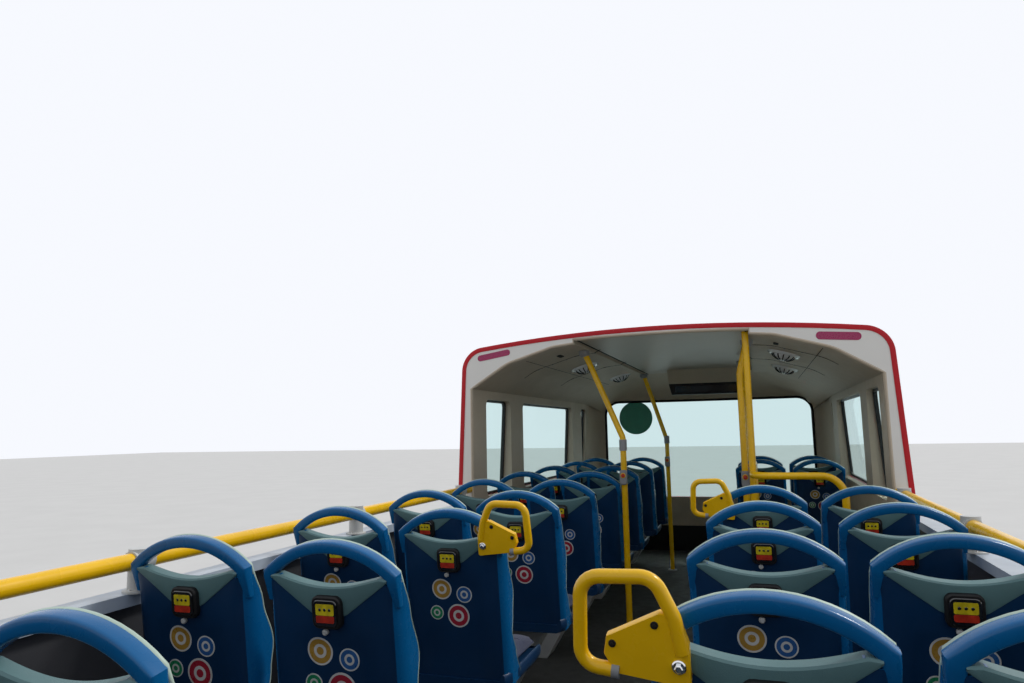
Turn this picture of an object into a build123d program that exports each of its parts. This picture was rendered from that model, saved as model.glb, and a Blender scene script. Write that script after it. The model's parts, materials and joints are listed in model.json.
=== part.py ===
from build123d import *
import math
import os

# Open-top double-decker bus, right-hand drive, two axles, entrance ahead of the front axle on the left.
# Frame: +X towards the front, +Y to the left, +Z up, millimetres. The origin is on the ground,
# halfway along and across the bus. The front third of the upper deck has a canopy, the rest is open.

os.makedirs("parts", exist_ok=True)

# Overall body
length = 10400.0
half_width = 1275.0
wall = 50.0
roof_skin = 26.0
skirt_z = 280.0
roof_z = 4250.0
roof_edge_drop = 85.0
roof_edge_inset = 43.0
shoulder_radius = 150.0
front_rake = 100.0
front_bow = 110.0
front_corner_radius = 330.0
rear_corner_radius = 140.0
dome_length = 800.0
dome_drop = 300.0
beyond = 100.0

front_x = length / 2
rear_x = -length / 2
everywhere = 2 * length
roof_half_width = half_width - roof_edge_inset
roof_edge_z = roof_z - roof_edge_drop

# Where the panels meet
rear_joint_x = rear_x + 250
front_joint_x = front_x - 550
dome_start_x = front_x - dome_length
canopy_length = 3825.0
canopy_rear_x = front_x - canopy_length
bumper_top_z = 640.0
eaves_z = roof_z - 260

# Decks
floor_thickness = 40.0
low_floor_z = 340.0
high_floor_z = 560.0
high_floor_x = rear_x + 3050
engine_wall_x = rear_x + 1050
engine_shelf_z = 1180.0
deck_z = 2370.0
deck_thickness = 70.0
lower_top_z = deck_z - deck_thickness
waist_z = deck_z + 842
coping_height = 36.0
coping_overhang = 30.0

# Axles and wheels
front_axle_x = front_x - 2650
rear_axle_x = rear_x + 2150
tyre_radius = 478.0
tyre_width = 275.0
rim_radius = 286.0
rim_edge_inset = 38.0
wheel_y = half_width - 182
twin_spacing = 320.0
kingpin_y = wheel_y - 188
front_arch_radius = 575.0
rear_arch_radius = 530.0
wheelhouse_inner_y = wheel_y - 503
wheelhouse_sheet = 20.0
wheelhouse_top_z = 1085.0
front_wheelhouse_length = 1250.0
rear_wheelhouse_length = 1100.0

# Doors and windows
door_front_x = front_joint_x - 50
door_width = 1120.0
door_rear_x = door_front_x - door_width
door_top_z = 2130.0
door_thickness = 40.0
door_gap = 6.0
door_middle_gap = 14.0
window_sill_z = 1130.0
window_head_z = 2080.0
window_corner = 70.0
glass_thickness = 6.0
glass_inset = 12.0

# Stairwell on the right, under the canopy's rear edge, rising towards the front
well_length = 1650.0
well_rear_x = canopy_rear_x - 75
well_front_x = well_rear_x + well_length
well_inner_y = -520.0
stair_rear_x = well_rear_x - 150
step_count = 8

# Seats: pitch, spacing across a pair, and the hoop over each back
seat_pitch = 750.0
seat_spacing = 445.0
window_seat_y = half_width - 308
aisle_seat_y = window_seat_y - seat_spacing
pair_middle_y = (aisle_seat_y + window_seat_y) / 2
hoop_end_z = 930.0
hoop_rise = 70.0
seat_half_width = 179.0
seat_recline_deg = 8.0

# Seat rows: the plane of the hoops in each row
rear_bench_x = rear_x + 250
bench_count = 5
bench_spacing = (2 * half_width - 250) / bench_count
bench_room = 1050.0
left_front_row_x = front_x - 1210
right_front_row_x = front_x - 1010
right_back_row_x = well_rear_x - 670

# Rails
rail_radius = 19.0
side_rail_radius = 24.0
rail_z = deck_z + 930
rail_y = half_width - 75


def block(x0, x1, y0, y1, z0, z1):
    """A box between two corners."""
    centre = ((x0 + x1) / 2, (y0 + y1) / 2, (z0 + z1) / 2)
    return Pos(*centre) * Box(abs(x1 - x0), abs(y1 - y0), abs(z1 - z0))


def across(x0, x1, z0, z1):
    """A box as wide as the bus and more."""
    return block(x0, x1, -2 * half_width, 2 * half_width, z0, z1)


def rounded_block(x0, x1, y0, y1, z0, z1, radius, axis):
    """A box with the four edges along one axis rounded."""
    solid = block(x0, x1, y0, y1, z0, z1)
    return fillet(solid.edges().filter_by(axis), radius)


def disc(x, y, z, radius, y0, y1):
    """A cylinder along Y between two offsets from a centre."""
    return Pos(x, y + (y0 + y1) / 2, z) * Rot(90, 0, 0) * Cylinder(radius, abs(y1 - y0))


def post(x, y, radius, z0, z1):
    """An upright round bar."""
    return Pos(x, y, (z0 + z1) / 2) * Cylinder(radius, z1 - z0)


def tube(points, radius, bend):
    """A round bar through points, with each corner bent to one radius."""
    path = Polyline(*points) if len(points) == 2 else FilletPolyline(*points, radius=bend)
    start = Plane(origin=path @ 0, z_dir=path % 0)
    return sweep(start * Circle(radius), path=path)


def on_side(side, y0, y1):
    """Two offsets from the centreline, put on the left (1) or the right (-1), lowest first."""
    return sorted((side * y0, side * y1))


def save(name, solids):
    """Writes one sub-part, as one solid or as several that don't touch."""
    found = []
    for item in solids if isinstance(solids, list) else [solids]:
        found.extend(item.solids())
    shape = found[0] if len(found) == 1 else Compound(children=found)
    export_step(shape, f"parts/{name}.step")


# Body form: a section along the bus, a plan that leans back with height, and a domed front profile


def section_face(inset):
    """The body's cross-section with a thin crowned roof.

    The lean of the upper walls carries on below the waist, outside the plan that cuts it there.
    """
    roof_inset = min(inset, roof_skin)
    waist_y = half_width - inset
    edge_y = roof_half_width - inset
    edge_z = roof_edge_z - roof_inset
    base_z = skirt_z - 2 * inset
    low_y = waist_y + roof_edge_inset / 2
    low_z = waist_z - (edge_z - waist_z) / 2
    outline = [
        Line((-low_y, base_z), (low_y, base_z)),
        Line((low_y, base_z), (low_y, low_z)),
        Line((low_y, low_z), (edge_y, edge_z)),
        ThreePointArc((edge_y, edge_z), (0, roof_z - roof_inset), (-edge_y, edge_z)),
        Line((-edge_y, edge_z), (-low_y, low_z)),
        Line((-low_y, low_z), (-low_y, base_z)),
    ]
    face = make_face(outline)
    shoulders = [v for v in face.vertices() if abs(v.Y - edge_z) < 1]
    return fillet(shoulders, shoulder_radius - inset)


def plan_face(inset, tip_x):
    """The body's plan at one height, with a bowed front and rounded corners."""
    y = half_width - inset
    tail_x = rear_x + inset
    corner_x = tip_x - front_bow - inset
    outline = [
        Line((corner_x, -y), (tail_x, -y)),
        Line((tail_x, -y), (tail_x, y)),
        Line((tail_x, y), (corner_x, y)),
        ThreePointArc((corner_x, y), (tip_x - inset, 0), (corner_x, -y)),
    ]
    face = make_face(outline)
    rear = [v for v in face.vertices() if v.X < 0]
    face = fillet(rear, rear_corner_radius - inset)
    front = [v for v in face.vertices() if abs(v.X - corner_x) < 1]
    return fillet(front, front_corner_radius - inset)


def side_profile(inset):
    """The body seen from the side, with the roof falling away over the front screen."""
    end_x = front_x + wall
    run = end_x - dome_start_x
    radius = (run**2 + dome_drop**2) / (2 * dome_drop)
    half_drop = radius - math.sqrt(radius**2 - (run / 2) ** 2)
    top_z = roof_z - min(inset, roof_skin)
    middle = (dome_start_x + run / 2, top_z - half_drop)
    outline = [
        Line((-length, 0), (end_x, 0)),
        Line((end_x, 0), (end_x, top_z - dome_drop)),
        ThreePointArc((end_x, top_z - dome_drop), middle, (dome_start_x, top_z)),
        Line((dome_start_x, top_z), (-length, top_z)),
        Line((-length, top_z), (-length, 0)),
    ]
    return make_face(outline)


def body_volume(inset):
    """The whole body as a solid, its surface set in by a distance."""
    high_z = roof_z + wall
    lean = front_rake / (high_z - skirt_z)
    low = plan_face(inset, front_x + lean * skirt_z)
    high = Pos(0, 0, high_z) * plan_face(inset, front_x - front_rake)
    plan = loft([low, high], ruled=True)
    section = extrude(Plane.YZ.offset(-length) * section_face(inset), everywhere)
    side = extrude(Plane.XZ.offset(-length) * side_profile(inset), everywhere)
    return plan & section & side


outer_volume = body_volume(0)
inner_volume = body_volume(wall)
shell = outer_volume - inner_volume
glass_outside = body_volume(glass_inset)
glass_inside = body_volume(glass_inset + glass_thickness)


def shell_piece(x0, x1, z0, z1):
    """The part of the hollow body between two sections and two heights."""
    return shell & across(x0, x1, z0, z1)


def side_opening(x0, x1, z0, z1, radius, side):
    """A rounded prism through one side wall."""
    y0, y1 = on_side(side, half_width - 4 * wall, half_width + wall)
    return rounded_block(x0, x1, y0, y1, z0, z1, radius, Axis.Y)


def end_opening(y0, y1, z0, z1, radius, end):
    """A rounded prism through the front or the rear wall."""
    depth = front_bow + front_corner_radius + 5 * wall if end > 0 else 4 * wall
    x0, x1 = sorted((end * (front_x - depth), end * (front_x + wall)))
    return rounded_block(x0, x1, y0, y1, z0, z1, radius, Axis.X)


def pane(opening):
    """The glass that fills an opening in a shaped wall, set in from the outside."""
    return (opening & glass_outside) - glass_inside


def flat_pane(opening, side):
    """The glass that fills an opening in one of the plain lower side walls."""
    glass_y = on_side(side, half_width - glass_inset - glass_thickness, half_width - glass_inset)
    return opening & block(-length, length, *glass_y, 0, roof_z)


# Lower side walls with wheel arches, windows and the doorway
bay_pitch = 1370.0
bay_length = 1280.0
first_bay_x = rear_joint_x + 220
bay_count = int((door_rear_x - 60 - first_bay_x - bay_length) / bay_pitch) + 1
cab_window = (door_rear_x + 120, door_front_x - 40)


def arch_cut(x, radius):
    """A wheel arch through both sides: a round top with a straight skirt below it."""
    low = across(x - radius, x + radius, 0, tyre_radius)
    return low + disc(x, 0, tyre_radius, radius, -2 * half_width, 2 * half_width)


arches = [arch_cut(front_axle_x, front_arch_radius), arch_cut(rear_axle_x, rear_arch_radius)]
bays = [(first_bay_x + n * bay_pitch, first_bay_x + n * bay_pitch + bay_length) for n in range(bay_count)]
left_windows = [side_opening(x0, x1, window_sill_z, window_head_z, window_corner, 1) for x0, x1 in bays]
right_windows = [
    side_opening(x0, x1, window_sill_z, window_head_z, window_corner, -1) for x0, x1 in [*bays, cab_window]
]
door_opening = block(door_rear_x, door_front_x, half_width - 2 * wall, half_width + wall, 0, door_top_z)
side_left = block(rear_joint_x, front_joint_x, half_width - wall, half_width, skirt_z, lower_top_z)
side_right = block(rear_joint_x, front_joint_x, -half_width, wall - half_width, skirt_z, lower_top_z)
save("side_walls", [side_left - arches - door_opening - left_windows, side_right - arches - right_windows])

# Ends, lamps and bumpers
lower_screen_half_width = half_width - 180
lower_screen_sill_z = 1010.0
lower_screen_corner = 110.0
lamp_y = (half_width - 515, half_width - 190)
lamp_z = (700.0, 880.0)
lamp_corner = 60.0
tail_lamp_y = (half_width - 265, half_width - 95)
tail_lamp_z = (760.0, 1360.0)
tail_lamp_corner = 40.0
lower_screen_y = (-lower_screen_half_width, lower_screen_half_width)
lower_screen = end_opening(*lower_screen_y, lower_screen_sill_z, window_head_z, lower_screen_corner, 1)
head_lamps = [end_opening(*on_side(side, *lamp_y), *lamp_z, lamp_corner, 1) for side in (1, -1)]
tail_lamps = [
    end_opening(*on_side(side, *tail_lamp_y), *tail_lamp_z, tail_lamp_corner, -1) for side in (1, -1)
]
save("front_panel", shell_piece(front_joint_x, length, bumper_top_z, lower_top_z) - lower_screen - head_lamps)
save("lamps", [shell & hole for hole in head_lamps + tail_lamps])

# Engine cover in the rear panel, hinged along its top edge, with a field of louvres
cover_half_width = 880.0
cover_top_z = 1420.0
louvre_count = 9
louvre_pitch = 62.0
louvre_first_z = 790.0
louvre_height = 26.0
louvre_half_width = 620.0
louvre_depth = 20.0
cover_hole = block(-length, rear_joint_x, -cover_half_width, cover_half_width, bumper_top_z, cover_top_z)
save("rear_panel", shell_piece(-length, rear_joint_x, bumper_top_z, lower_top_z) - cover_hole - tail_lamps)
cover_y = cover_half_width - door_gap
cover_z = (bumper_top_z + door_gap, cover_top_z - door_gap)
engine_cover = shell & block(-length, rear_joint_x, -cover_y, cover_y, *cover_z)
for n in range(louvre_count):
    z = louvre_first_z + n * louvre_pitch
    engine_cover -= block(
        rear_x - beyond, rear_x + louvre_depth, -louvre_half_width, louvre_half_width, z, z + louvre_height
    )
save("engine_cover", engine_cover)
front_bumper = shell_piece(front_joint_x, length, 0, bumper_top_z)
rear_bumper = shell_piece(-length, rear_joint_x, 0, bumper_top_z)
save("bumpers", [front_bumper, rear_bumper])

# Upper body: low walls with a coping round the open part
coping_z = waist_z - coping_height
coping = outer_volume - body_volume(wall + coping_overhang)
low_wall = shell_piece(-length, canopy_rear_x, lower_top_z, coping_z)
low_wall += coping & across(-length, canopy_rear_x, coping_z, waist_z)
side_halves = [block(rear_joint_x, length, *on_side(side, 0, 2 * half_width), 0, roof_z) for side in (1, -1)]
save("upper_side_walls", [low_wall & half for half in side_halves])
save("upper_rear_wall", low_wall & across(-length, rear_joint_x, 0, roof_z))

# Canopy over the front of the upper deck: sides, roof and front
canopy_sill_z = waist_z + 18
canopy_head_z = deck_z + 1500
canopy_window_corner = 50.0
canopy_windows = (
    (canopy_rear_x + 225, canopy_rear_x + 730),
    (canopy_rear_x + 1015, canopy_rear_x + 2575),
    (front_joint_x - 330, front_joint_x - 45),
)
upper_screen_z = (deck_z + 560, deck_z + 1590)
upper_screen_half_width = half_width - 215
upper_screen_corner = 140.0
display_half_width = 720.0
display_z = (deck_z - 10, deck_z + 260)
display_corner = 30.0
canopy_cuts = [
    side_opening(x0, x1, canopy_sill_z, canopy_head_z, canopy_window_corner, side)
    for side in (1, -1)
    for x0, x1 in canopy_windows
]
canopy_walls = shell_piece(canopy_rear_x, front_joint_x, lower_top_z, eaves_z)
canopy_halves = [
    canopy_walls & block(0, length, *on_side(side, 0, 2 * half_width), 0, roof_z) for side in (1, -1)
]
save("canopy_sides", [half - canopy_cuts for half in canopy_halves])
save("canopy_roof", shell_piece(canopy_rear_x, length, eaves_z, roof_z + beyond))
upper_screen_y = (-upper_screen_half_width, upper_screen_half_width)
upper_screen = end_opening(*upper_screen_y, *upper_screen_z, upper_screen_corner, 1)
display = end_opening(-display_half_width, display_half_width, *display_z, display_corner, 1)
save("canopy_front", shell_piece(front_joint_x, length, lower_top_z, eaves_z) - upper_screen - display)
save("destination_panel", shell & display)
lower_panes = [flat_pane(opening, 1) for opening in left_windows]
lower_panes += [flat_pane(opening, -1) for opening in right_windows]
save("side_glazing", lower_panes + [pane(opening) for opening in canopy_cuts])
save("windscreens", [pane(lower_screen), pane(upper_screen)])

# Canopy lining: side panels with the same windows, coves, and a ceiling that steps up to a centre panel
lining_y = half_width - 95
cove_foot = (lining_y, roof_z - 325)
cove_mid = (lining_y - 240, roof_z - 175)
cove_top = (lining_y - 540, roof_z - 85)
ceiling_step_y = lining_y - 670
ceiling_step_z = (roof_z - 72, roof_z - 48)
ceiling_crown_z = roof_z - 38
cove_mid_radius = 300.0
cove_top_radius = 200.0


def passenger_face():
    """The passengers' space under the canopy, drawn across the bus."""
    half = [(lining_y, deck_z), cove_foot, cove_mid, cove_top]
    half += [(ceiling_step_y, ceiling_step_z[0]), (ceiling_step_y, ceiling_step_z[1])]
    other = [(-y, z) for y, z in half]
    outline = [Line(other[0], half[0])]
    for side in (half, other):
        outline += [Line(a, b) for a, b in zip(side, side[1:])]
    outline.append(ThreePointArc(half[-1], (0, ceiling_crown_z), other[-1]))
    face = make_face(outline)
    for (y, _), radius in ((cove_mid, cove_mid_radius), (cove_top, cove_top_radius)):
        face = fillet([v for v in face.vertices() if abs(abs(v.X) - y) < 1], radius)
    return face


passenger_space = extrude(Plane.YZ * passenger_face(), length)
lining = (inner_volume & across(canopy_rear_x, dome_start_x, deck_z, roof_z)) - passenger_space
ceiling = lining & across(0, length, cove_foot[1], roof_z)
save("canopy_lining", (lining & across(0, length, deck_z, cove_foot[1])) - canopy_cuts)
save("canopy_ceiling", ceiling)

# Rim: an arched frame that closes the canopy's rear edge and stands on the coping
rim_depth = 40.0
rim_x = canopy_rear_x - rim_depth
canopy_rim = (outer_volume & across(rim_x, canopy_rear_x, waist_z, roof_z)) - passenger_space
save("canopy_rim", canopy_rim)

# Floors and wheelhouses
riser_thickness = 20.0
floor_gap = 2.0
low_under_z = low_floor_z - floor_thickness
high_under_z = high_floor_z - floor_thickness
well = block(well_rear_x, well_front_x, -2 * half_width, well_inner_y, lower_top_z - beyond, deck_z + beyond)
save("upper_floor", (inner_volume & across(-length, length, lower_top_z, deck_z)) - well)


def wheelhouse(x, base_z, whole_length, side, sheet):
    """A wheel's box in the floor, its walls set in by a sheet's thickness, or none."""
    half = whole_length / 2 - sheet
    y0, y1 = on_side(side, wheelhouse_inner_y + sheet, half_width)
    low_z = base_z - floor_thickness - (beyond if sheet else 0)
    return block(x - half, x + half, y0, y1, low_z, wheelhouse_top_z - sheet)


wheelhouse_table = (
    (front_axle_x, low_floor_z, front_wheelhouse_length),
    (rear_axle_x, high_floor_z, rear_wheelhouse_length),
)
boxes = [
    (wheelhouse(*row, side, 0), wheelhouse(*row, side, wheelhouse_sheet))
    for row in wheelhouse_table
    for side in (1, -1)
]
save("wheelhouses", [(inner_volume & outside) - inside for outside, inside in boxes])
low_floor = across(high_floor_x + riser_thickness + floor_gap, length, low_under_z, low_floor_z)
raised = across(engine_wall_x - riser_thickness, high_floor_x + riser_thickness, high_under_z, high_floor_z)
raised += across(high_floor_x, high_floor_x + riser_thickness, low_under_z, high_floor_z)
raised += across(engine_wall_x - riser_thickness, engine_wall_x, high_under_z, engine_shelf_z)
raised += across(-length, engine_wall_x, engine_shelf_z - riser_thickness, engine_shelf_z)
wheel_spaces = [outside for outside, _ in boxes]
save("lower_floor", [(inner_volume & part) - wheel_spaces for part in (low_floor, raised)])

# Chassis: two rails, raised over the rear axle, with cross-members, outriggers and towing sockets
frame_rail_y = 430.0
frame_rail_width = 80.0
rail_sides = (frame_rail_y - frame_rail_width / 2, frame_rail_y + frame_rail_width / 2)
front_rail_z = (190.0, low_under_z)
rear_rail_z = (400.0, high_under_z)
frame_front_x = front_x - 160
frame_rear_x = rear_x + 140
kick_length = 100.0
beam_z = (120.0, 215.0)
beam_half_depth = 55.0
beam_clearance = 15.0
outrigger_y = half_width - 125
notch = beam_half_depth + beam_clearance
beam_notch = across(front_axle_x - notch, front_axle_x + notch, 0, beam_z[1] + beam_clearance)
frame_rails = []
for side in (1, -1):
    sides = on_side(side, *rail_sides)
    rail = block(high_floor_x - kick_length, frame_front_x, *sides, *front_rail_z)
    rail += block(high_floor_x - kick_length, high_floor_x, *sides, front_rail_z[0], rear_rail_z[1])
    rail += block(frame_rear_x, high_floor_x, *sides, *rear_rail_z)
    frame_rails.append(rail - beam_notch)
save("chassis_frame", frame_rails)

member_width = 70.0
# A cross-member's rear face, its reach to each side, and its heights
member_table = (
    (frame_front_x - member_width, rail_sides[0], front_rail_z),
    (front_axle_x + 1350, outrigger_y, front_rail_z),
    (front_axle_x - 850, outrigger_y, front_rail_z),
    (front_axle_x - 1950, outrigger_y, front_rail_z),
    (rear_axle_x + 2550, outrigger_y, front_rail_z),
    (rear_axle_x + 1450, outrigger_y, front_rail_z),
    (rear_axle_x + 550, rail_sides[0], rear_rail_z),
    (rear_axle_x - 700, rail_sides[0], rear_rail_z),
    (frame_rear_x + 160, rail_sides[0], rear_rail_z),
)
members = []
for x, reach, heights in member_table:
    members.append(block(x, x + member_width, -rail_sides[0], rail_sides[0], *heights))
    if reach > rail_sides[1]:
        members += [
            block(x, x + member_width, *on_side(side, rail_sides[1], reach), *heights) for side in (1, -1)
        ]
save("cross_members", members)

# Towing sockets on the ends of the frame, the rear ones on hangers below the raised rails
tow_z = 245.0
tow_boss_radius = 38.0
tow_radius = 21.0
tow_boss_length = 70.0
tow_depth = 60.0
hanger_thickness = 20.0
tow_sockets = []
for x, end in ((frame_front_x, 1), (frame_rear_x, -1)):
    for side in (1, -1):
        lying = Pos(x, side * frame_rail_y, tow_z) * Rot(0, end * 90, 0)
        socket = lying * Pos(0, 0, tow_boss_length / 2) * Cylinder(tow_boss_radius, tow_boss_length)
        if end < 0:
            socket += block(x - hanger_thickness, x, *on_side(side, *rail_sides), tow_z, rear_rail_z[1])
        hole = lying * Pos(0, 0, tow_boss_length - tow_depth / 2) * Cylinder(tow_radius, tow_depth)
        tow_sockets.append(socket - hole)
save("tow_sockets", tow_sockets)

# Wheels: a tyre of revolution on a steel rim with a dished disc, hand holes and a hub
bead_rise = 60.0
shoulder_drop = 70.0
tread_inset = 45.0


def tyre(x, y):
    """One tyre, turned about its own axle line."""
    half = tyre_width / 2
    bead_half = half - rim_edge_inset
    profile = [
        (rim_radius, bead_half),
        (rim_radius + bead_rise, half),
        (tyre_radius - shoulder_drop, half),
        (tyre_radius, half - tread_inset),
    ]
    outline = Polyline(*profile, *[(r, -w) for r, w in reversed(profile)], close=True)
    return Pos(x, y, tyre_radius) * revolve(make_face(outline), axis=Axis.Y)


rim_thickness = 14.0
disc_thickness = 16.0
hand_hole_count = 8
hand_hole_radius = 30.0
hand_hole_ring = 195.0
hub_bore = 62.0
bore_clearance = 1.5
front_dish = 60.0
rear_dish = 80.0
hub_radius = 118.0
rear_hub_radius = 148.0
brake_radius = 215.0
hub_half = 75.0
brake_y = (-75, -40)
spindle_end = 70.0
rear_spindle_inset = 60.0
spindle_clearance = 5.0


def rim(x, y, dish, holes):
    """One rim: a barrel with a disc set to one side, and hand holes if they show."""
    half = tyre_width / 2 - rim_edge_inset
    z = tyre_radius
    wheel = disc(x, y, z, rim_radius, -half, half)
    wheel -= disc(x, y, z, rim_radius - rim_thickness, -half - 1, half + 1)
    wheel += disc(x, y, z, rim_radius - 1, dish - disc_thickness / 2, dish + disc_thickness / 2)
    if not holes:
        return wheel
    at = Pos(x, y + dish, z)
    hole = Pos(hand_hole_ring, 0, 0) * Rot(90, 0, 0) * Cylinder(hand_hole_radius, 3 * disc_thickness)
    return wheel - [at * Rot(0, n * 360 / hand_hole_count, 0) * hole for n in range(hand_hole_count)]


for side, word in ((1, "left"), (-1, "right")):
    z = tyre_radius
    y = side * wheel_y
    bore = hub_bore + bore_clearance
    wheel = rim(front_axle_x, y, side * front_dish, True)
    wheel += disc(front_axle_x, y, z, hub_radius, *on_side(side, -hub_half, hub_half + rim_edge_inset))
    wheel += disc(front_axle_x, y, z, brake_radius, *on_side(side, *brake_y))
    wheel -= disc(front_axle_x, y, z, bore, *on_side(side, -hub_half - 1, spindle_end + spindle_clearance))
    save(f"wheel_front_{word}", wheel)
    save(f"tyre_front_{word}", tyre(front_axle_x, y))
    inner_y = side * (wheel_y - twin_spacing)
    hub_y = wheel_y - twin_spacing + rear_dish
    bore_y = on_side(side, wheel_y - twin_spacing, wheel_y - rear_spindle_inset / 2)
    wheels = rim(rear_axle_x, y, -side * rear_dish, True) + rim(rear_axle_x, inner_y, side * rear_dish, False)
    wheels += disc(rear_axle_x, 0, z, rear_hub_radius, *on_side(side, hub_y, wheel_y - rear_dish))
    wheels += disc(rear_axle_x, y, z, hub_radius, *on_side(side, -rear_dish, disc_thickness))
    wheels -= disc(rear_axle_x, 0, z, bore, *bore_y)
    save(f"wheels_rear_{word}", wheels)
    save(f"tyres_rear_{word}", [tyre(rear_axle_x, y), tyre(rear_axle_x, inner_y)])

# Front axle: a dropped beam with an upright and a kingpin boss at each end
kingpin_radius = 22.0
kingpin_clearance = 0.3
boss_half = 50.0
upright_y = (kingpin_y - 190, kingpin_y - 110)
ax = front_axle_x
boss_z = (tyre_radius - boss_half, tyre_radius + boss_half)
axle = block(ax - beam_half_depth, ax + beam_half_depth, -upright_y[1], upright_y[1], *beam_z)
for side in (1, -1):
    y = side * kingpin_y
    side_upright_y = on_side(side, *upright_y)
    axle += block(ax - beam_half_depth, ax + beam_half_depth, *side_upright_y, beam_z[0], boss_z[1])
    axle += block(ax - boss_half, ax + boss_half, *on_side(side, upright_y[0], kingpin_y), *boss_z)
    axle += post(ax, y, boss_half, *boss_z)
    axle -= post(ax, y, kingpin_radius + kingpin_clearance, boss_z[0] - 1, boss_z[1] + 1)
save("front_axle", axle)

# Knuckles: two ears on the kingpin, a plate that carries the wheel spindle, and a steering arm
ear_gap = 5.0
ear_thickness = 24.0
ear_radius = 48.0
plate_y = (58.0, 88.0)
arm_length = 240.0
arm_half = 15.0
ear_low = boss_half + ear_gap
ear_high = ear_low + ear_thickness
for side, word in ((1, "left"), (-1, "right")):
    y = side * kingpin_y
    z0, z1 = tyre_radius - ear_high, tyre_radius + ear_high
    plate_sides = on_side(side, kingpin_y + plate_y[0], kingpin_y + plate_y[1])
    ear_sides = on_side(side, kingpin_y, kingpin_y + plate_y[0])
    knuckle = block(ax - ear_radius, ax + ear_radius, *plate_sides, z0, z1)
    knuckle += post(ax, y, kingpin_radius, z0, z1)
    for ear_z in ((tyre_radius + ear_low, z1), (z0, tyre_radius - ear_low)):
        knuckle += post(ax, y, ear_radius, *ear_z)
        knuckle += block(ax - ear_radius, ax + ear_radius, *ear_sides, *ear_z)
    knuckle += block(ax - arm_length, ax, y - arm_half, y + arm_half, z0, tyre_radius - ear_low)
    spindle_y = on_side(side, kingpin_y + plate_y[1], wheel_y + spindle_end)
    knuckle += disc(ax, 0, tyre_radius, hub_bore, *spindle_y)
    save(f"knuckle_{word}", knuckle)

# Rear axle: a low beam between two gear housings that rise to the wheel centres
portal_z = 320.0
portal_radius = 65.0
differential_radius = 140.0
differential_y = 150.0
housing_y = (wheelhouse_inner_y + 22, wheelhouse_inner_y + 75)
housing_radius = 90.0
spring_arm_y = wheelhouse_inner_y - 60
spring_x = 260.0
spring_radius = 55.0
spring_arm_half = 30.0
spring_arm_z = (300.0, 340.0)
rx = rear_axle_x
rear_axle = disc(rx, 0, portal_z, portal_radius, -housing_y[1], housing_y[1])
rear_axle += Pos(rx, differential_y, portal_z) * Sphere(differential_radius)
for side in (1, -1):
    hy = on_side(side, *housing_y)
    rear_axle += disc(rx, 0, portal_z, housing_radius, *hy) + disc(rx, 0, tyre_radius, housing_radius, *hy)
    rear_axle += block(rx - housing_radius, rx + housing_radius, *hy, portal_z, tyre_radius)
    spindle_y = on_side(side, housing_y[1], wheel_y - rear_spindle_inset)
    rear_axle += disc(rx, 0, tyre_radius, hub_bore, *spindle_y)
    arm_x = spring_x + spring_radius + 5
    arm_y = on_side(side, spring_arm_y - spring_arm_half, spring_arm_y + spring_arm_half)
    rear_axle += block(rx - arm_x, rx + arm_x, *arm_y, *spring_arm_z)
save("rear_axle", rear_axle)

# Air springs between the axles and the floor
springs = []
for side in (1, -1):
    springs.append(post(front_axle_x, side * spring_arm_y, spring_radius, beam_z[1], low_under_z))
    for dx in (-spring_x, spring_x):
        rear_spring_place = (rear_axle_x + dx, side * spring_arm_y)
        springs.append(post(*rear_spring_place, spring_radius, spring_arm_z[1], high_under_z))
save("air_springs", springs)

# Engine and gearbox as one plain block on the frame
engine_y = (-380.0, 520.0)
engine_clearance = 60.0
engine_x = (frame_rear_x, engine_wall_x - 80)
save("engine_block", block(*engine_x, *engine_y, high_under_z, engine_shelf_z - engine_clearance))

# Entrance: two glazed leaves, each on a turning post at its own end of the opening
leaf_y1 = half_width - 4
leaf_y0 = leaf_y1 - door_thickness
leaf_z = (low_floor_z + 8, door_top_z - door_gap)
door_mid_x = (door_rear_x + door_front_x) / 2
leaf_stile = 60.0
leaf_foot = 130.0
leaf_head = 90.0
leaf_corner = 50.0
leaf_glass_y = leaf_y0 + (door_thickness - glass_thickness) / 2
leaves = (
    ("rear", door_rear_x + door_gap, door_mid_x - door_middle_gap / 2),
    ("front", door_mid_x + door_middle_gap / 2, door_front_x - door_gap),
)
for word, x0, x1 in leaves:
    hole_z = (leaf_z[0] + leaf_foot, leaf_z[1] - leaf_head)
    hole_x = (x0 + leaf_stile, x1 - leaf_stile)
    hole = rounded_block(*hole_x, leaf_y0 - 1, leaf_y1 + 1, *hole_z, leaf_corner, Axis.Y)
    save(f"door_leaf_{word}", block(x0, x1, leaf_y0, leaf_y1, *leaf_z) - hole)
    save(f"door_glass_{word}", hole & block(x0, x1, leaf_glass_y, leaf_glass_y + glass_thickness, *leaf_z))

# Driver's cab: a rear wall, a platform, a counter beside the gangway, and a half-height door in its side
cab_wall = 30.0
cab_side_y = -430.0
cab_rear_x = door_rear_x
cab_door_x = (cab_rear_x + 40, door_front_x - 380)
cab_door_z = (low_floor_z + 20, 1480.0)
counter_x = (cab_door_x[1] + 10, front_joint_x - 10)
platform_z = 540.0
cab_inner_y = cab_side_y - cab_wall
partition = block(cab_rear_x, cab_rear_x + cab_wall, -2 * half_width, cab_side_y, low_floor_z, lower_top_z)
partition += block(
    cab_rear_x + cab_wall, counter_x[1], -2 * half_width, cab_inner_y - door_gap, low_floor_z, platform_z
)
partition += block(*counter_x, cab_inner_y, cab_side_y, low_floor_z, cab_door_z[1])
partition += block(*counter_x, cab_inner_y - door_gap, cab_inner_y, low_floor_z, platform_z)
save("cab_partition", inner_volume & partition)
save("cab_door", block(*cab_door_x, cab_inner_y, cab_side_y, *cab_door_z))

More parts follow.
